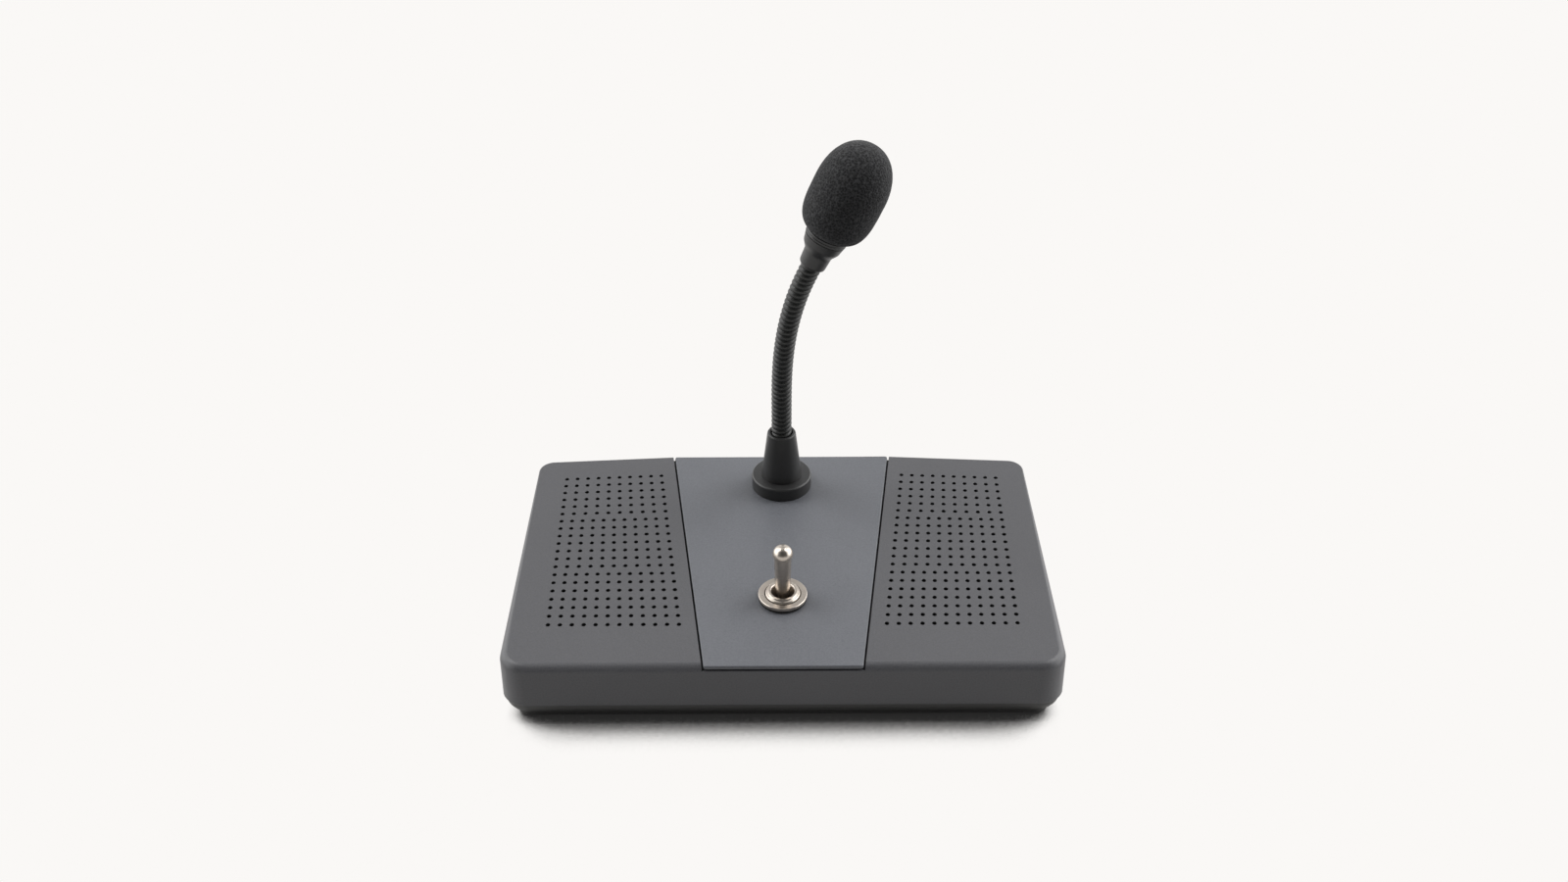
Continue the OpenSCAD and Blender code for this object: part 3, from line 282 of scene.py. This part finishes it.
finishes = {
    # Satin mid grey with a fine spark texture
    "greyAbs": grainedFinish("grey ABS, moulded", {
        "dark": "#444447", "light": "#59595c", "driftMm": 40, "grainMm": 0.5, "rough": (0.36, 0.5),
        "bump": 0.4, "depthMm": 0.05}),
    # Darker and flatter than the housing
    "trayAbs": grainedFinish("dark ABS, moulded", {
        "dark": "#3a3a39", "light": "#494948", "driftMm": 40, "grainMm": 0.45, "rough": (0.45, 0.62),
        "bump": 0.35, "depthMm": 0.05}),
    # Nearly black: painted shade on the hole walls and in the seam round the panel, where little light gets
    # in
    "holeAbs": grainedFinish("grey ABS, painted shade in holes and seam", {
        "dark": "#131313", "light": "#1a1a1a", "driftMm": 40, "grainMm": 0.45, "rough": (0.6, 0.8),
        "bump": 0.2, "depthMm": 0.05}),
    # Blue-grey and finely pebbled
    "panelCoat": grainedFinish("powder coat on steel", {
        "dark": "#54565b", "light": "#6c6e73", "driftMm": 30, "grainMm": 0.6, "rough": (0.36, 0.5),
        "bump": 0.3, "depthMm": 0.06}),
    # Dull and nearly black
    "rubber": grainedFinish("black rubber", {
        "dark": "#151514", "light": "#1d1d1c", "driftMm": 6, "grainMm": 0.3, "rough": (0.7, 0.85),
        "bump": 0.4, "depthMm": 0.05}),
    # Smooth, with a soft shine along its edges
    "blackPaint": grainedFinish("satin black paint on steel", {
        "dark": "#1f1f1f", "light": "#262626", "driftMm": 12, "grainMm": 0.25, "rough": (0.34, 0.46),
        "bump": 0.15, "depthMm": 0.02}),
    # Satin black, brightest on the ribs
    "neckBlack": grainedFinish("blackened spring steel", {
        "dark": "#1b1c1b", "light": "#242524", "driftMm": 8, "grainMm": 0.2, "rough": (0.36, 0.52),
        "bump": 0.2, "depthMm": 0.02}),
    # Fine satin black
    "holderAbs": grainedFinish("black ABS, turned", {
        "dark": "#222222", "light": "#292929", "driftMm": 10, "grainMm": 0.25, "rough": (0.34, 0.46),
        "bump": 0.15, "depthMm": 0.02}),
    # Deep black with a tighter shine
    "socketBlack": grainedFinish("black polycarbonate", {
        "dark": "#0e0e0e", "light": "#141414", "driftMm": 8, "grainMm": 0.4, "rough": (0.25, 0.35),
        "bump": 0.1, "depthMm": 0.02}),
    # Matt and fibrous
    "paper": grainedFinish("pressed paper pulp", {
        "dark": "#1a1a1a", "light": "#232323", "driftMm": 3, "grainMm": 0.5, "rough": (0.85, 0.95),
        "bump": 0.5, "depthMm": 0.1}),
    # Dull, grey and stony
    "ferrite": grainedFinish("sintered ferrite", {
        "dark": "#4c4d50", "light": "#5a5b5e", "driftMm": 4, "grainMm": 0.4, "rough": (0.5, 0.7),
        "bump": 0.3, "depthMm": 0.05}),
    # Dark green with some gloss
    "laminate": grainedFinish("green solder mask", {
        "dark": "#1a4028", "light": "#21502f", "driftMm": 5, "grainMm": 0.6, "rough": (0.25, 0.4),
        "bump": 0.2, "depthMm": 0.03}),
    # Warm brown, half glossy
    "phenolic": grainedFinish("brown phenolic", {
        "dark": "#4c271b", "light": "#5d3122", "driftMm": 4, "grainMm": 0.5, "rough": (0.4, 0.55),
        "bump": 0.3, "depthMm": 0.04}),
    # Creamy and waxy
    "nylon": grainedFinish("natural nylon", {
        "dark": "#cbc5b4", "light": "#d9d3c3", "driftMm": 5, "grainMm": 0.5, "rough": (0.4, 0.5),
        "bump": 0.2, "depthMm": 0.03}),
    # Warm silver with fine turning lines
    "nickel": platedFinish("satin nickel on brass", {
        "dark": "#b4aaa0", "light": "#ccc4ba", "cloudMm": 4, "lineMm": 4, "stretch": 24,
        "rough": (0.27, 0.34), "bump": 0.02, "depthMm": 0.02}),
    # Cooler, duller and a little cloudy
    "zinc": platedFinish("zinc-plated steel", {
        "dark": "#8f8f8d", "light": "#a8a8a5", "cloudMm": 3, "lineMm": 3, "stretch": 6,
        "rough": (0.3, 0.45), "bump": 0.15, "depthMm": 0.02}),
    # Pale gold
    "brass": platedFinish("tinned brass", {
        "dark": "#b9ad8c", "light": "#d0c6a8", "cloudMm": 3, "lineMm": 3, "stretch": 6,
        "rough": (0.25, 0.4), "bump": 0.15, "depthMm": 0.02}),
    # A charcoal sponge with dark pores
    "foam": cellFoam("open-cell foam", {
        "dark": "#171718", "light": "#4a4a4b", "cellMm": 0.7, "clumpMm": 0.5, "bump": 0.9, "depthMm": 0.35,
        "sheen": 0.08}),
    # Black and matt, hardly seen through the holes
    "cloth": wovenCloth("black acoustic cloth", {"dark": "#050505", "light": "#121212", "threadMm": 0.4}),
}
print("materials made,", len(finishes))

nodeFinish = {
    "upper_housing": "greyAbs", "lower_housing": "trayAbs", "control_panel": "panelCoat",
    "rubber_feet": "rubber", "housing_screws": "zinc", "panel_screws": "zinc",
    "left_grille_cloth": "cloth", "right_grille_cloth": "cloth",
    "left_speaker_gasket": "rubber", "right_speaker_gasket": "rubber",
    "left_speaker_frame": "blackPaint", "right_speaker_frame": "blackPaint",
    "left_speaker_cone": "paper", "right_speaker_cone": "paper",
    "left_speaker_magnet": "ferrite", "right_speaker_magnet": "ferrite", "speaker_screws": "zinc",
    "circuit_board": "laminate", "board_screws": "zinc", "amplifier_chip": "socketBlack",
    "capacitors": "socketBlack", "wire_headers": "nylon", "link_socket": "socketBlack",
    "switch_case": "phenolic", "switch_terminals": "brass", "switch_bushing": "nickel",
    "switch_washer": "zinc", "switch_nut": "nickel", "switch_dress_ring": "nickel",
    "switch_pivot_pin": "zinc", "switch_lever": "nickel",
    "neck_flange": "blackPaint", "neck_socket": "blackPaint", "neck_washer": "zinc", "neck_nut": "zinc",
    "mic_holder": "holderAbs", "mic_capsule": "zinc", "capsule_cap": "holderAbs", "windscreen": "foam",
}
for name, node in nodes.items():
    node.data.materials.clear()
    node.data.materials.append(finishes[nodeFinish.get(name, "neckBlack")])  # the rest are the neck's links
print("CAD nodes dressed")


# Foam windscreen

foam = {"length": 33.35, "cut": 0.5, "width": 24.6, "topPower": 2.2, "footPower": 3.7, "lowest": 0.05,
        "stemWidth": 11.2, "stemDepth": 18.1, "rings": 90, "sides": 160, "sharpDeg": 180,
        "pitMm": 0.14, "pitCellMm": 0.9, "finePit": 0.5, "fineCellMm": 0.45,
        "plainRound": 0.3, "plainAbove": 1}
head = {"leanDeg": 24, "holderStart": 7.85, "holderLength": 12.9}


def headFrame(w):
    last = joints["neck_nod_4"]
    place = Matrix.Translation(last["pos_m"]) @ Matrix.Rotation(slope, 4, "X")
    return place @ Matrix.Rotation(math.radians(head["leanDeg"]), 4, "Y") @ Matrix.Translation((0, 0, w * mm))


def makeFoam():
    # An egg with a squarer, flat foot and a hollow for the stem
    half = (foam["length"] + foam["cut"]) / 2
    outline = []
    for k in range(foam["rings"] + 1):
        a = math.radians(180 * k / foam["rings"] - 90)
        power = foam["footPower"] if a < 0 else foam["topPower"]
        r = foam["width"] / 2 * abs(math.cos(a)) ** (2 / power)
        w = half - foam["cut"] + half * math.copysign(abs(math.sin(a)) ** (2 / power), a)
        if w > foam["lowest"]:
            outline.append((r, w))
    foot = outline[0][0]
    hollow = foam["stemWidth"] / 2
    stem = [(0, foam["stemDepth"]), (hollow, foam["stemDepth"]), (hollow, 0), ((hollow + foot) / 2, 0)]
    bm = lathe(stem + [(foot, 0)] + outline, foam["sides"])
    weld(bm)
    bm.normal_update()
    # Pits all over the outside, none in the hollow
    for vert in bm.verts:
        r = math.hypot(vert.co.x, vert.co.y) / mm
        if r > hollow + foam["plainRound"] or vert.co.z > (foam["stemDepth"] + foam["plainAbove"]) * mm:
            pit = noise.noise(vert.co / (foam["pitCellMm"] * mm))
            pit += foam["finePit"] * noise.noise(vert.co / (foam["fineCellMm"] * mm))
            vert.co += vert.normal * (min(pit, 0) * foam["pitMm"] * mm)
    bmesh.ops.transform(bm, matrix=headFrame(head["holderStart"] + head["holderLength"]), verts=bm.verts)
    piece = finishPiece(bm, "foamWindscreen", "head", "foam", ["windscreen"],
                        foam["sharpDeg"])


makeFoam()
print("foam made")


# Upper and lower housing, from the CAD meshes, the upper one with its small edges broken

housing = {"wall": 2.5, "rimMm": 0.14, "flatDeg": 12, "partingAt": 7.2, "partingMm": 0.3, "segments": 2,
           "sharpDeg": 20, "outerFrom": 20, "underFace": -0.9, "sideFace": 0.3,
           "throatMm": 0.2, "holeFaceMm": 2, "uprightFace": 0.2,
           "grilleX": 82, "grilleV": (frontV + 15, rearV - 9), "seamX": 42, "seamFrom": frontV + 2}
tray = {"sharpDeg": 35}
steepFace = 0.3  # a face that leans out of the top by less is a wall


# Edges in the plane of the top, between a flat face and a wall
def topRims(bm, flat):
    rims = []
    for edge in bm.edges:
        if len(edge.link_faces) == 2 and all(abs((toTop @ v.co).z) < levelDist for v in edge.verts):
            ups = [face.normal.dot(outward) for face in edge.link_faces]
            if max(ups) > flat and min(ups) < steepFace:
                rims.append(edge)
    return rims


# The housing's outer lower edge, at the parting line
def partingEdges(bm):
    h = housing
    found = []
    for edge in bm.edges:
        level = all(abs(v.co.z - h["partingAt"] * mm) < levelDist for v in edge.verts)
        if level and len(edge.link_faces) == 2:
            under = min(edge.link_faces, key=lambda face: face.normal.z)
            side = max(edge.link_faces, key=lambda face: face.normal.z)
            outer = side.normal.dot(edge.verts[0].co) > h["outerFrom"] * mm
            if outer and under.normal.z < h["underFace"] and abs(side.normal.z) < h["sideFace"]:
                found.append(edge)
    return found


def makeUpperHousing():
    h = housing
    bm = copyNode("upper_housing")
    rims = topRims(bm, math.cos(math.radians(h["flatDeg"])))
    lower = partingEdges(bm)
    breakEdges(bm, rims, h["rimMm"], h["segments"])
    lower = [edge for edge in lower if edge.is_valid]
    breakEdges(bm, lower, h["partingMm"], h["segments"])
    bm.normal_update()
    # Painted shade: the hole walls and the seam round the panel take a nearly black copy of the grey ABS
    holes = 0
    for face in bm.faces:
        spot = toTop @ face.calc_center_median() / mm
        up = face.normal.dot(outward)
        inGrille = abs(spot.x) < h["grilleX"] and h["grilleV"][0] < spot.y < h["grilleV"][1]
        holeWall = abs(up) < h["uprightFace"] and face.calc_area() < (h["holeFaceMm"] * mm) ** 2
        if inGrille and holeWall and h["throatMm"] < -spot.z < h["wall"]:
            face.material_index = 1
            holes += 1
        inSeam = abs(spot.x) < h["seamX"] and spot.y > h["seamFrom"] and up > -h["uprightFace"]
        if inSeam and h["throatMm"] < -spot.z < 2 * h["wall"]:
            face.material_index = 1
    piece = finishPiece(bm, "upperHousing", "console", "greyAbs", ["upper_housing"],
                        h["sharpDeg"])
    # Second slot: the grey ABS darkened as painted shade
    piece.data.materials.append(finishes["holeAbs"])
    evenNormals(piece)
    print("upper housing made,", len(rims), "rim edges,", len(lower), "lower edges,", holes, "hole walls")


def makeLowerHousing():
    bm = copyNode("lower_housing")
    piece = finishPiece(bm, "lowerHousing", "console", "trayAbs", ["lower_housing"],
                        tray["sharpDeg"])
    evenNormals(piece)


makeUpperHousing()
makeLowerHousing()
print("housings made")


# Control panel, with round corners and rolled edges

panel = {"cornerMm": 0.8, "rollMm": 0.45, "segments": 4, "sharpDeg": 40, "flatUp": 0.9, "joinDeg": 0.5,
         "nearMm": 0.01, "cornerRise": 1, "cornerTurn": 0.5, "holesWithin": 15, "endBand": 1}


def makePanel():
    p = panel
    bm = copyNode("control_panel")
    bmesh.ops.dissolve_limit(bm, angle_limit=math.radians(p["joinDeg"]), verts=bm.verts, edges=bm.edges)
    bm.normal_update()
    places = {v: toTop @ v.co / mm for v in bm.verts}
    ends = (min(spot.y for spot in places.values()), max(spot.y for spot in places.values()))

    def isCorner(edge):
        a, b = [places[v] for v in edge.verts]
        atEnds = all(min(abs(spot.y - end) for end in ends) < p["nearMm"] for spot in (a, b))
        upright = abs(a.z - b.z) > p["cornerRise"] and abs(a.x - b.x) < p["nearMm"]
        return atEnds and upright and len(edge.link_faces) == 2 and edge.calc_face_angle(0) > p["cornerTurn"]

    # The outline, not the switch and neck holes
    def isOutline(edge):
        middle = toTop @ ((edge.verts[0].co + edge.verts[1].co) / 2) / mm
        return abs(middle.x) > p["holesWithin"] or abs(middle.y) > ends[1] - p["endBand"]

    corners = [edge for edge in bm.edges if isCorner(edge)]
    breakEdges(bm, corners, p["cornerMm"], p["segments"])
    bm.normal_update()
    rims = [edge for edge in topRims(bm, p["flatUp"]) if isOutline(edge)]
    breakEdges(bm, rims, p["rollMm"], p["segments"], clamp=False)
    piece = finishPiece(bm, "controlPanel", "console", "panelCoat", ["control_panel"],
                        p["sharpDeg"])
    evenNormals(piece)
    print("panel made,", len(corners), "corners,", len(rims), "rim edges")


makePanel()


# Turned pieces

turning = {"steps": 72, "segments": 3, "breakDeg": 25, "sharpDeg": 50}


def turned(name, profile, place, body, finish, replaced, breakMm,
           steps=turning["steps"], segments=turning["segments"]):
    bm = lathe(profile, steps)
    weld(bm)
    bm.normal_update()
    turn = math.radians(turning["breakDeg"])
    edges = [e for e in bm.edges if len(e.link_faces) == 2 and e.calc_face_angle(0) > turn]
    breakEdges(bm, edges, breakMm, segments)
    bmesh.ops.transform(bm, matrix=place, verts=bm.verts)
    piece = finishPiece(bm, name, body, finish, replaced, turning["sharpDeg"])
    evenNormals(piece)


# Profiles are (radius, height over the top)
switch = {
    "v": frontV + 32.6,
    # A barrel with a raised lip round its mouth
    "barrel": [(2.65, -1.2), (3.7, 2.6), (4.05, 3.2), (4.8, 3.2), (5, 2.75), (5.55, 2.65), (5.8, 2.25),
               (5.8, -5.5), (2.65, -5.5), (2.65, -1.2)],
    "barrelBreak": 0.14,
    # A thin nickel ring on a black washer; the washer is a likely part, and its black also paints the shade
    # on the lower side of the ring
    "ring": [(6.08, 1.1), (8.1, 1.1), (8.1, 1.98), (7.92, 2.1), (6.08, 2.1), (6.08, 1.1)],
    "washer": [(6.08, 0), (7.95, 0), (7.95, 1.1), (6.08, 1.1), (6.08, 0)],
    "ringBreak": 0.06,
    # A lever with a ball tip on a narrower shank
    "tip": 3.35, "tipAt": 18.45, "tipStepDeg": 6,
    "shank": [(3.35, 18.1), (3.1, 17.9), (2.85, 17.9), (2.55, 5.2), (1.6, 0.6), (1.6, -5), (0, -5)],
    "leverBreak": 0.1,
}


def makeSwitch():
    s = switch
    place = onTop(s["v"])
    turned("switchBarrel", s["barrel"], place, "console", "nickel", ["switch_bushing"],
           s["barrelBreak"])
    turned("dressRing", s["ring"], place, "console", "nickel", ["switch_dress_ring"],
           s["ringBreak"])
    # The black washer also stands in for painted shade under the ring
    turned("dressWasher", s["washer"], place, "console", "rubber", [], s["ringBreak"])
    angles = [math.radians(a) for a in range(0, 91, s["tipStepDeg"])]
    ball = [(s["tip"] * math.sin(a), s["tipAt"] + s["tip"] * math.cos(a)) for a in angles]
    turned("switchLever", ball + s["shank"], place, "lever", "nickel", ["switch_lever"],
           s["leverBreak"])


makeSwitch()
print("switch made")


# Gooseneck: foot, flange and one wound sleeve, curved through every joint

neck = {
    "v": rearV - 17.6, "footSteps": 96, "flangeBreak": 0.12, "coneBreak": 0.1,
    "flange": [(5.05, 0), (10.75, 0), (10.75, 4.6), (10.35, 5), (5.05, 5), (5.05, 0)],
    # Tapered, with a fine crease above the flange
    "cone": [(4.95, -6), (4.95, 5), (7.25, 5), (7.008, 7.85), (6.888, 8.1), (5.1, 22.8), (4.8, 23.3),
             (4, 23.3), (4, 10.3), (1.2, 10.3), (1.2, -6), (4.95, -6)],
    "wire": 3.6, "groove": 0.42, "groovePower": 2.2, "pitch": 1.85, "around": 36, "bead": 8,
    "spareTurns": 3, "seamMm": 0.004, "cutMm": 0.0001, "linkLength": 8.4, "footLength": 10,
    "tailLength": 9.5, "sharpDeg": 60,
}
neckJoints = ["neck_lean_1", "neck_nod_1", "neck_lean_2", "neck_nod_2",
              "neck_lean_3", "neck_nod_3", "neck_lean_4", "neck_nod_4"]


def makeNeckFoot():
    k = neck
    place = onTop(k["v"])
    turned("neckFlange", k["flange"], place, "console", "blackPaint", ["neck_flange"],
           k["flangeBreak"], k["footSteps"])
    turned("neckSocket", k["cone"], place, "console", "blackPaint", ["neck_socket"],
           k["coneBreak"], k["footSteps"])


def makeSleeves():
    k = neck
    length = k["linkLength"] * mm
    pitch = k["pitch"] * mm
    links = len(neckJoints)
    pivots = [Vector(joints[name]["pos_m"]) for name in neckJoints]
    lastWay = headFrame(0).to_3x3() @ Vector((0, 0, 1))
    knots = [pivots[0] - outward * length / 2]
    knots += [(a + b) / 2 for a, b in zip(pivots, pivots[1:])]
    knots += [pivots[-1] + lastWay * length / 2]

    # A point and direction on the neck's middle line: one parabola for each joint, straight at the ends
    def onCurve(s):
        if s <= 0:
            return knots[0] + outward * s, outward
        if s >= links * length:
            return knots[links] + lastWay * (s - links * length), lastWay
        i = min(int(s / length), links - 1)
        t = s / length - i
        a, b, c = knots[i], pivots[i], knots[i + 1]
        spot = a * (1 - t) ** 2 + b * 2 * t * (1 - t) + c * t ** 2
        return spot, ((b - a) * (1 - t) + (c - b) * t).normalized()

    # One straight winding, longer than the neck
    low, high = -k["footLength"] * mm, links * length + k["tailLength"] * mm
    turns = int((high - low) / pitch) + k["spareTurns"]
    wound = bmesh.new()
    profile = []
    for j in range(k["bead"] + 1):
        z = j / k["bead"] - 0.5
        r = k["wire"] - k["groove"] * abs(2 * z) ** k["groovePower"]
        profile.append(wound.verts.new((r * mm, 0, low - pitch + z * pitch)))
    strand = [wound.edges.new(pair) for pair in zip(profile, profile[1:])]
    bmesh.ops.spin(wound, geom=profile + strand, axis=(0, 0, 1), cent=(0, 0, 0),
                   dvec=(0, 0, pitch / k["around"]), angle=math.tau * turns,
                   steps=k["around"] * turns, use_merge=False)
    bmesh.ops.remove_doubles(wound, verts=wound.verts, dist=k["seamMm"] * mm)
    # Cut into one closed piece for each joint and bent along the line
    for i in range(links):
        bm = wound.copy()
        ends = (low if i == 0 else i * length, high if i == links - 1 else (i + 1) * length)
        for at, side in zip(ends, (-1, 1)):
            cut = bmesh.ops.bisect_plane(bm, geom=bm.verts[:] + bm.edges[:] + bm.faces[:],
                                         dist=k["cutMm"] * mm, plane_co=(0, 0, at),
                                         plane_no=(0, 0, side), clear_outer=True)
            rim = [e for e in cut["geom_cut"] if isinstance(e, bmesh.types.BMEdge)]
            bmesh.ops.contextual_create(bm, geom=rim)
        for vert in bm.verts:
            spot, way = onCurve(vert.co.z)
            vert.co = spot + upSlope.cross(way) * vert.co.x + upSlope * vert.co.y
        replaced = ["neck_link_0", "neck_link_1"] if i == 0 else ["neck_link_%d" % (i + 1)]
        piece = finishPiece(bm, "neckSleeve%d" % (i + 1), None, "neckBlack", replaced,
                            k["sharpDeg"])
        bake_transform(piece)
    wound.free()


makeNeckFoot()
makeSleeves()
print("gooseneck made")


# Microphone holder: a round collar, a flare and a grooved rim, with the stem that the foam sits on

holder = {
    "bore": 3, "collar": 4.6, "collarRound": 1.2, "waist": 4.85, "flare": 6.6, "flareFrom": 5, "flareTo": 8.8,
    "rim": [(7.1, 10.9), (6.8, 10.9), (6.8, 11.25), (7.25, 11.25), (7.25, 11.9), (7.1, 11.9), (7.1, 12.25),
            (7.4, 12.25), (7.4, 12.9)],
    "stem": [(5.5, 12.9), (5.5, 29.9), (3, 29.9), (3, 0)],
    "collarSteps": 8, "flareSteps": 16, "breakMm": 0.07, "steps": 72, "segments": 2,
}


def makeHolder():
    h = holder
    bend = h["collarRound"]
    profile = [(h["bore"], 0), (h["collar"] - bend, 0)]
    for q in range(1, h["collarSteps"] + 1):
        a = math.pi / 2 * q / h["collarSteps"]
        profile.append((h["collar"] - bend * (1 - math.sin(a)), bend * (1 - math.cos(a))))
    for q in range(h["flareSteps"] + 1):
        t = q / h["flareSteps"]
        ease = t * t * (3 - 2 * t)
        profile.append((h["waist"] + (h["flare"] - h["waist"]) * ease,
                        h["flareFrom"] + (h["flareTo"] - h["flareFrom"]) * t))
    profile += h["rim"] + h["stem"]
    turned("micHolder", profile, headFrame(head["holderStart"]), "head", "holderAbs",
           ["mic_holder"], h["breakMm"], h["steps"], h["segments"])


makeHolder()
print("holder made")


# Spring contacts in the link socket

contacts = {"count": 8, "pitch": 1.02, "width": 0.4, "length": 10, "thick": 0.3, "riseDeg": 10,
            "at": (49, 12.9), "breakMm": 0.08}


def makeContacts():
    c = contacts
    bm = bmesh.new()
    size = Matrix.Diagonal((c["width"] * mm, c["length"] * mm, c["thick"] * mm, 1))
    for i in range(c["count"]):
        x = (i - (c["count"] - 1) / 2) * c["pitch"]
        place = Matrix.Translation((x * mm, c["at"][0] * mm, c["at"][1] * mm))
        place = place @ Matrix.Rotation(math.radians(-c["riseDeg"]), 4, "X")
        bmesh.ops.create_cube(bm, size=1, matrix=place @ size)
    breakEdges(bm, bm.edges[:], c["breakMm"], segments=1)
    finishPiece(bm, "linkContacts", "console", "brass")


makeContacts()
print("contacts made")


# Camera, light and floor

view = {"lensMm": 32.9, "sensorMm": 36, "clipStart": 10, "distance": 474.3, "pitchDeg": 27.0, "yawDeg": 0.438,
        "target": (0.6, 0, 72.64)}


def makeCamera():
    data = bpy.data.cameras.new("camera")
    data.lens = view["lensMm"]
    data.sensor_width = view["sensorMm"]
    data.clip_start = view["clipStart"] * mm
    camera = bpy.data.objects.new("camera", data)
    scene.collection.objects.link(camera)
    pitch, yaw = math.radians(view["pitchDeg"]), math.radians(view["yawDeg"])
    forward = Vector((math.sin(yaw) * math.cos(pitch), math.cos(yaw) * math.cos(pitch), -math.sin(pitch)))
    camera.location = Vector(view["target"]) * mm - forward * view["distance"] * mm
    camera.rotation_mode = "QUATERNION"
    camera.rotation_quaternion = forward.to_track_quat("-Z", "Y")
    scene.camera = camera


# Each softbox: direction, cosines where it starts and where it is full, strength
studio = {"backdrop": "#faf8f6", "backdropFrom": (0.2, 0.65), "backdropLight": 0.94, "ambient": 0.07,
          "softboxes": [((-1, 0.25, 0.2), 0.65, 0.9, 2.6), ((1, 0.25, 0.2), 0.65, 0.9, 3.0),
                        ((-0.53, 0.1, 0.84), 0.97, 0.99, 6.8), ((0.53, 0.1, 0.84), 0.97, 0.99, 7.4),
                        ((0, 0.25, 0.97), 0.88, 0.97, 0.6)]}


# Wide softboxes at both sides, two small ones high up, a weak one overhead and a pale backdrop behind
def makeWorld():
    world = bpy.data.worlds.new("studio")
    scene.world = world
    world.use_nodes = True
    tree = world.node_tree
    tree.nodes.clear()
    towards = addNode(tree, "ShaderNodeTexCoord").outputs["Generated"]
    light = addNode(tree, "ShaderNodeValue").outputs["Value"]
    light.default_value = studio["ambient"]
    for way, outer, inner, strength in studio["softboxes"]:
        facing = addNode(tree, "ShaderNodeVectorMath", {0: towards, 1: Vector(way).normalized()},
                         operation="DOT_PRODUCT")
        glow = addNode(tree, "ShaderNodeMapRange", {"Value": facing.outputs["Value"], "From Min": outer,
                                                    "From Max": inner, "To Max": strength},
                       interpolation_type="SMOOTHSTEP")
        both = addNode(tree, "ShaderNodeMath", {0: light, 1: glow.outputs["Result"]}, operation="ADD")
        light = both.outputs["Value"]
    depth = addNode(tree, "ShaderNodeSeparateXYZ", {"Vector": towards}).outputs["Y"]
    behind = addNode(tree, "ShaderNodeMapRange", {"Value": depth, "From Min": studio["backdropFrom"][0],
                                                  "From Max": studio["backdropFrom"][1],
                                                  "To Max": studio["backdropLight"]},
                     interpolation_type="SMOOTHSTEP")
    light = addNode(tree, "ShaderNodeMath", {0: light, 1: behind.outputs["Result"]}, operation="MAXIMUM")
    soft = addNode(tree, "ShaderNodeBackground", {"Color": (1, 1, 1, 1), "Strength": light.outputs["Value"]})
    pale = addNode(tree, "ShaderNodeBackground", {"Color": linear(studio["backdrop"]), "Strength": 1.0})
    path = addNode(tree, "ShaderNodeLightPath")
    pick = addNode(tree, "ShaderNodeMixShader", {0: path.outputs["Is Camera Ray"],
                                                 1: soft.outputs["Background"],
                                                 2: pale.outputs["Background"]})
    addNode(tree, "ShaderNodeOutputWorld", {"Surface": pick.outputs["Shader"]})


sweep = {"halfWidth": 6, "bounce": 0.22, "contactMm": 25, "contactTiltDeg": 50, "contact": (0.286, 0.55),
         "darkest": 0.02, "samples": 16}


# A pale sweep that glows for camera and mirror rays, with a painted contact shadow from ambient occlusion,
# longest in front
def makeFloor():
    bm = bmesh.new()
    bmesh.ops.create_grid(bm, x_segments=1, y_segments=1, size=sweep["halfWidth"])
    mesh = bpy.data.meshes.new("floor")
    bm.to_mesh(mesh)
    bm.free()
    floor = bpy.data.objects.new("floor", mesh)
    scene.collection.objects.link(floor)
    material, tree, output = startMaterial("white paper sweep")
    material.cycles.emission_sampling = "NONE"
    path = addNode(tree, "ShaderNodeLightPath")
    # Painted contact shadow: ambient occlusion, tilted towards the back so that it reaches furthest in front,
    # dims the glow
    tilt = math.radians(sweep["contactTiltDeg"])
    towards = addNode(tree, "ShaderNodeCombineXYZ", {"Y": math.sin(tilt), "Z": math.cos(tilt)})
    near = addNode(tree, "ShaderNodeAmbientOcclusion", {"Distance": sweep["contactMm"] * mm,
                                                        "Normal": towards.outputs["Vector"]},
                   samples=sweep["samples"])
    shade = addNode(tree, "ShaderNodeMapRange", {"Value": near.outputs["AO"], "From Min": sweep["contact"][0],
                                                 "From Max": sweep["contact"][1], "To Min": sweep["darkest"]},
                    interpolation_type="SMOOTHSTEP")
    seen = addNode(tree, "ShaderNodeEmission", {"Color": linear(studio["backdrop"]),
                                                "Strength": shade.outputs["Result"]})
    paper = addNode(tree, "ShaderNodeBsdfDiffuse", {"Color": (sweep["bounce"],) * 3 + (1,)})
    mirrored = addNode(tree, "ShaderNodeMath", {0: path.outputs["Is Glossy Ray"],
                                                1: path.outputs["Is Transmission Ray"]}, operation="MAXIMUM")
    looked = addNode(tree, "ShaderNodeMath", {0: path.outputs["Is Camera Ray"], 1: mirrored.outputs["Value"]},
                     operation="MAXIMUM")
    pick = addNode(tree, "ShaderNodeMixShader", {0: looked.outputs["Value"], 1: paper.outputs["BSDF"],
                                                 2: seen.outputs["Emission"]})
    tree.links.new(pick.outputs["Shader"], output.inputs["Surface"])
    mesh.materials.append(material)


makeCamera()
makeWorld()
makeFloor()
scene.view_settings.view_transform = "Standard"
print("studio made")
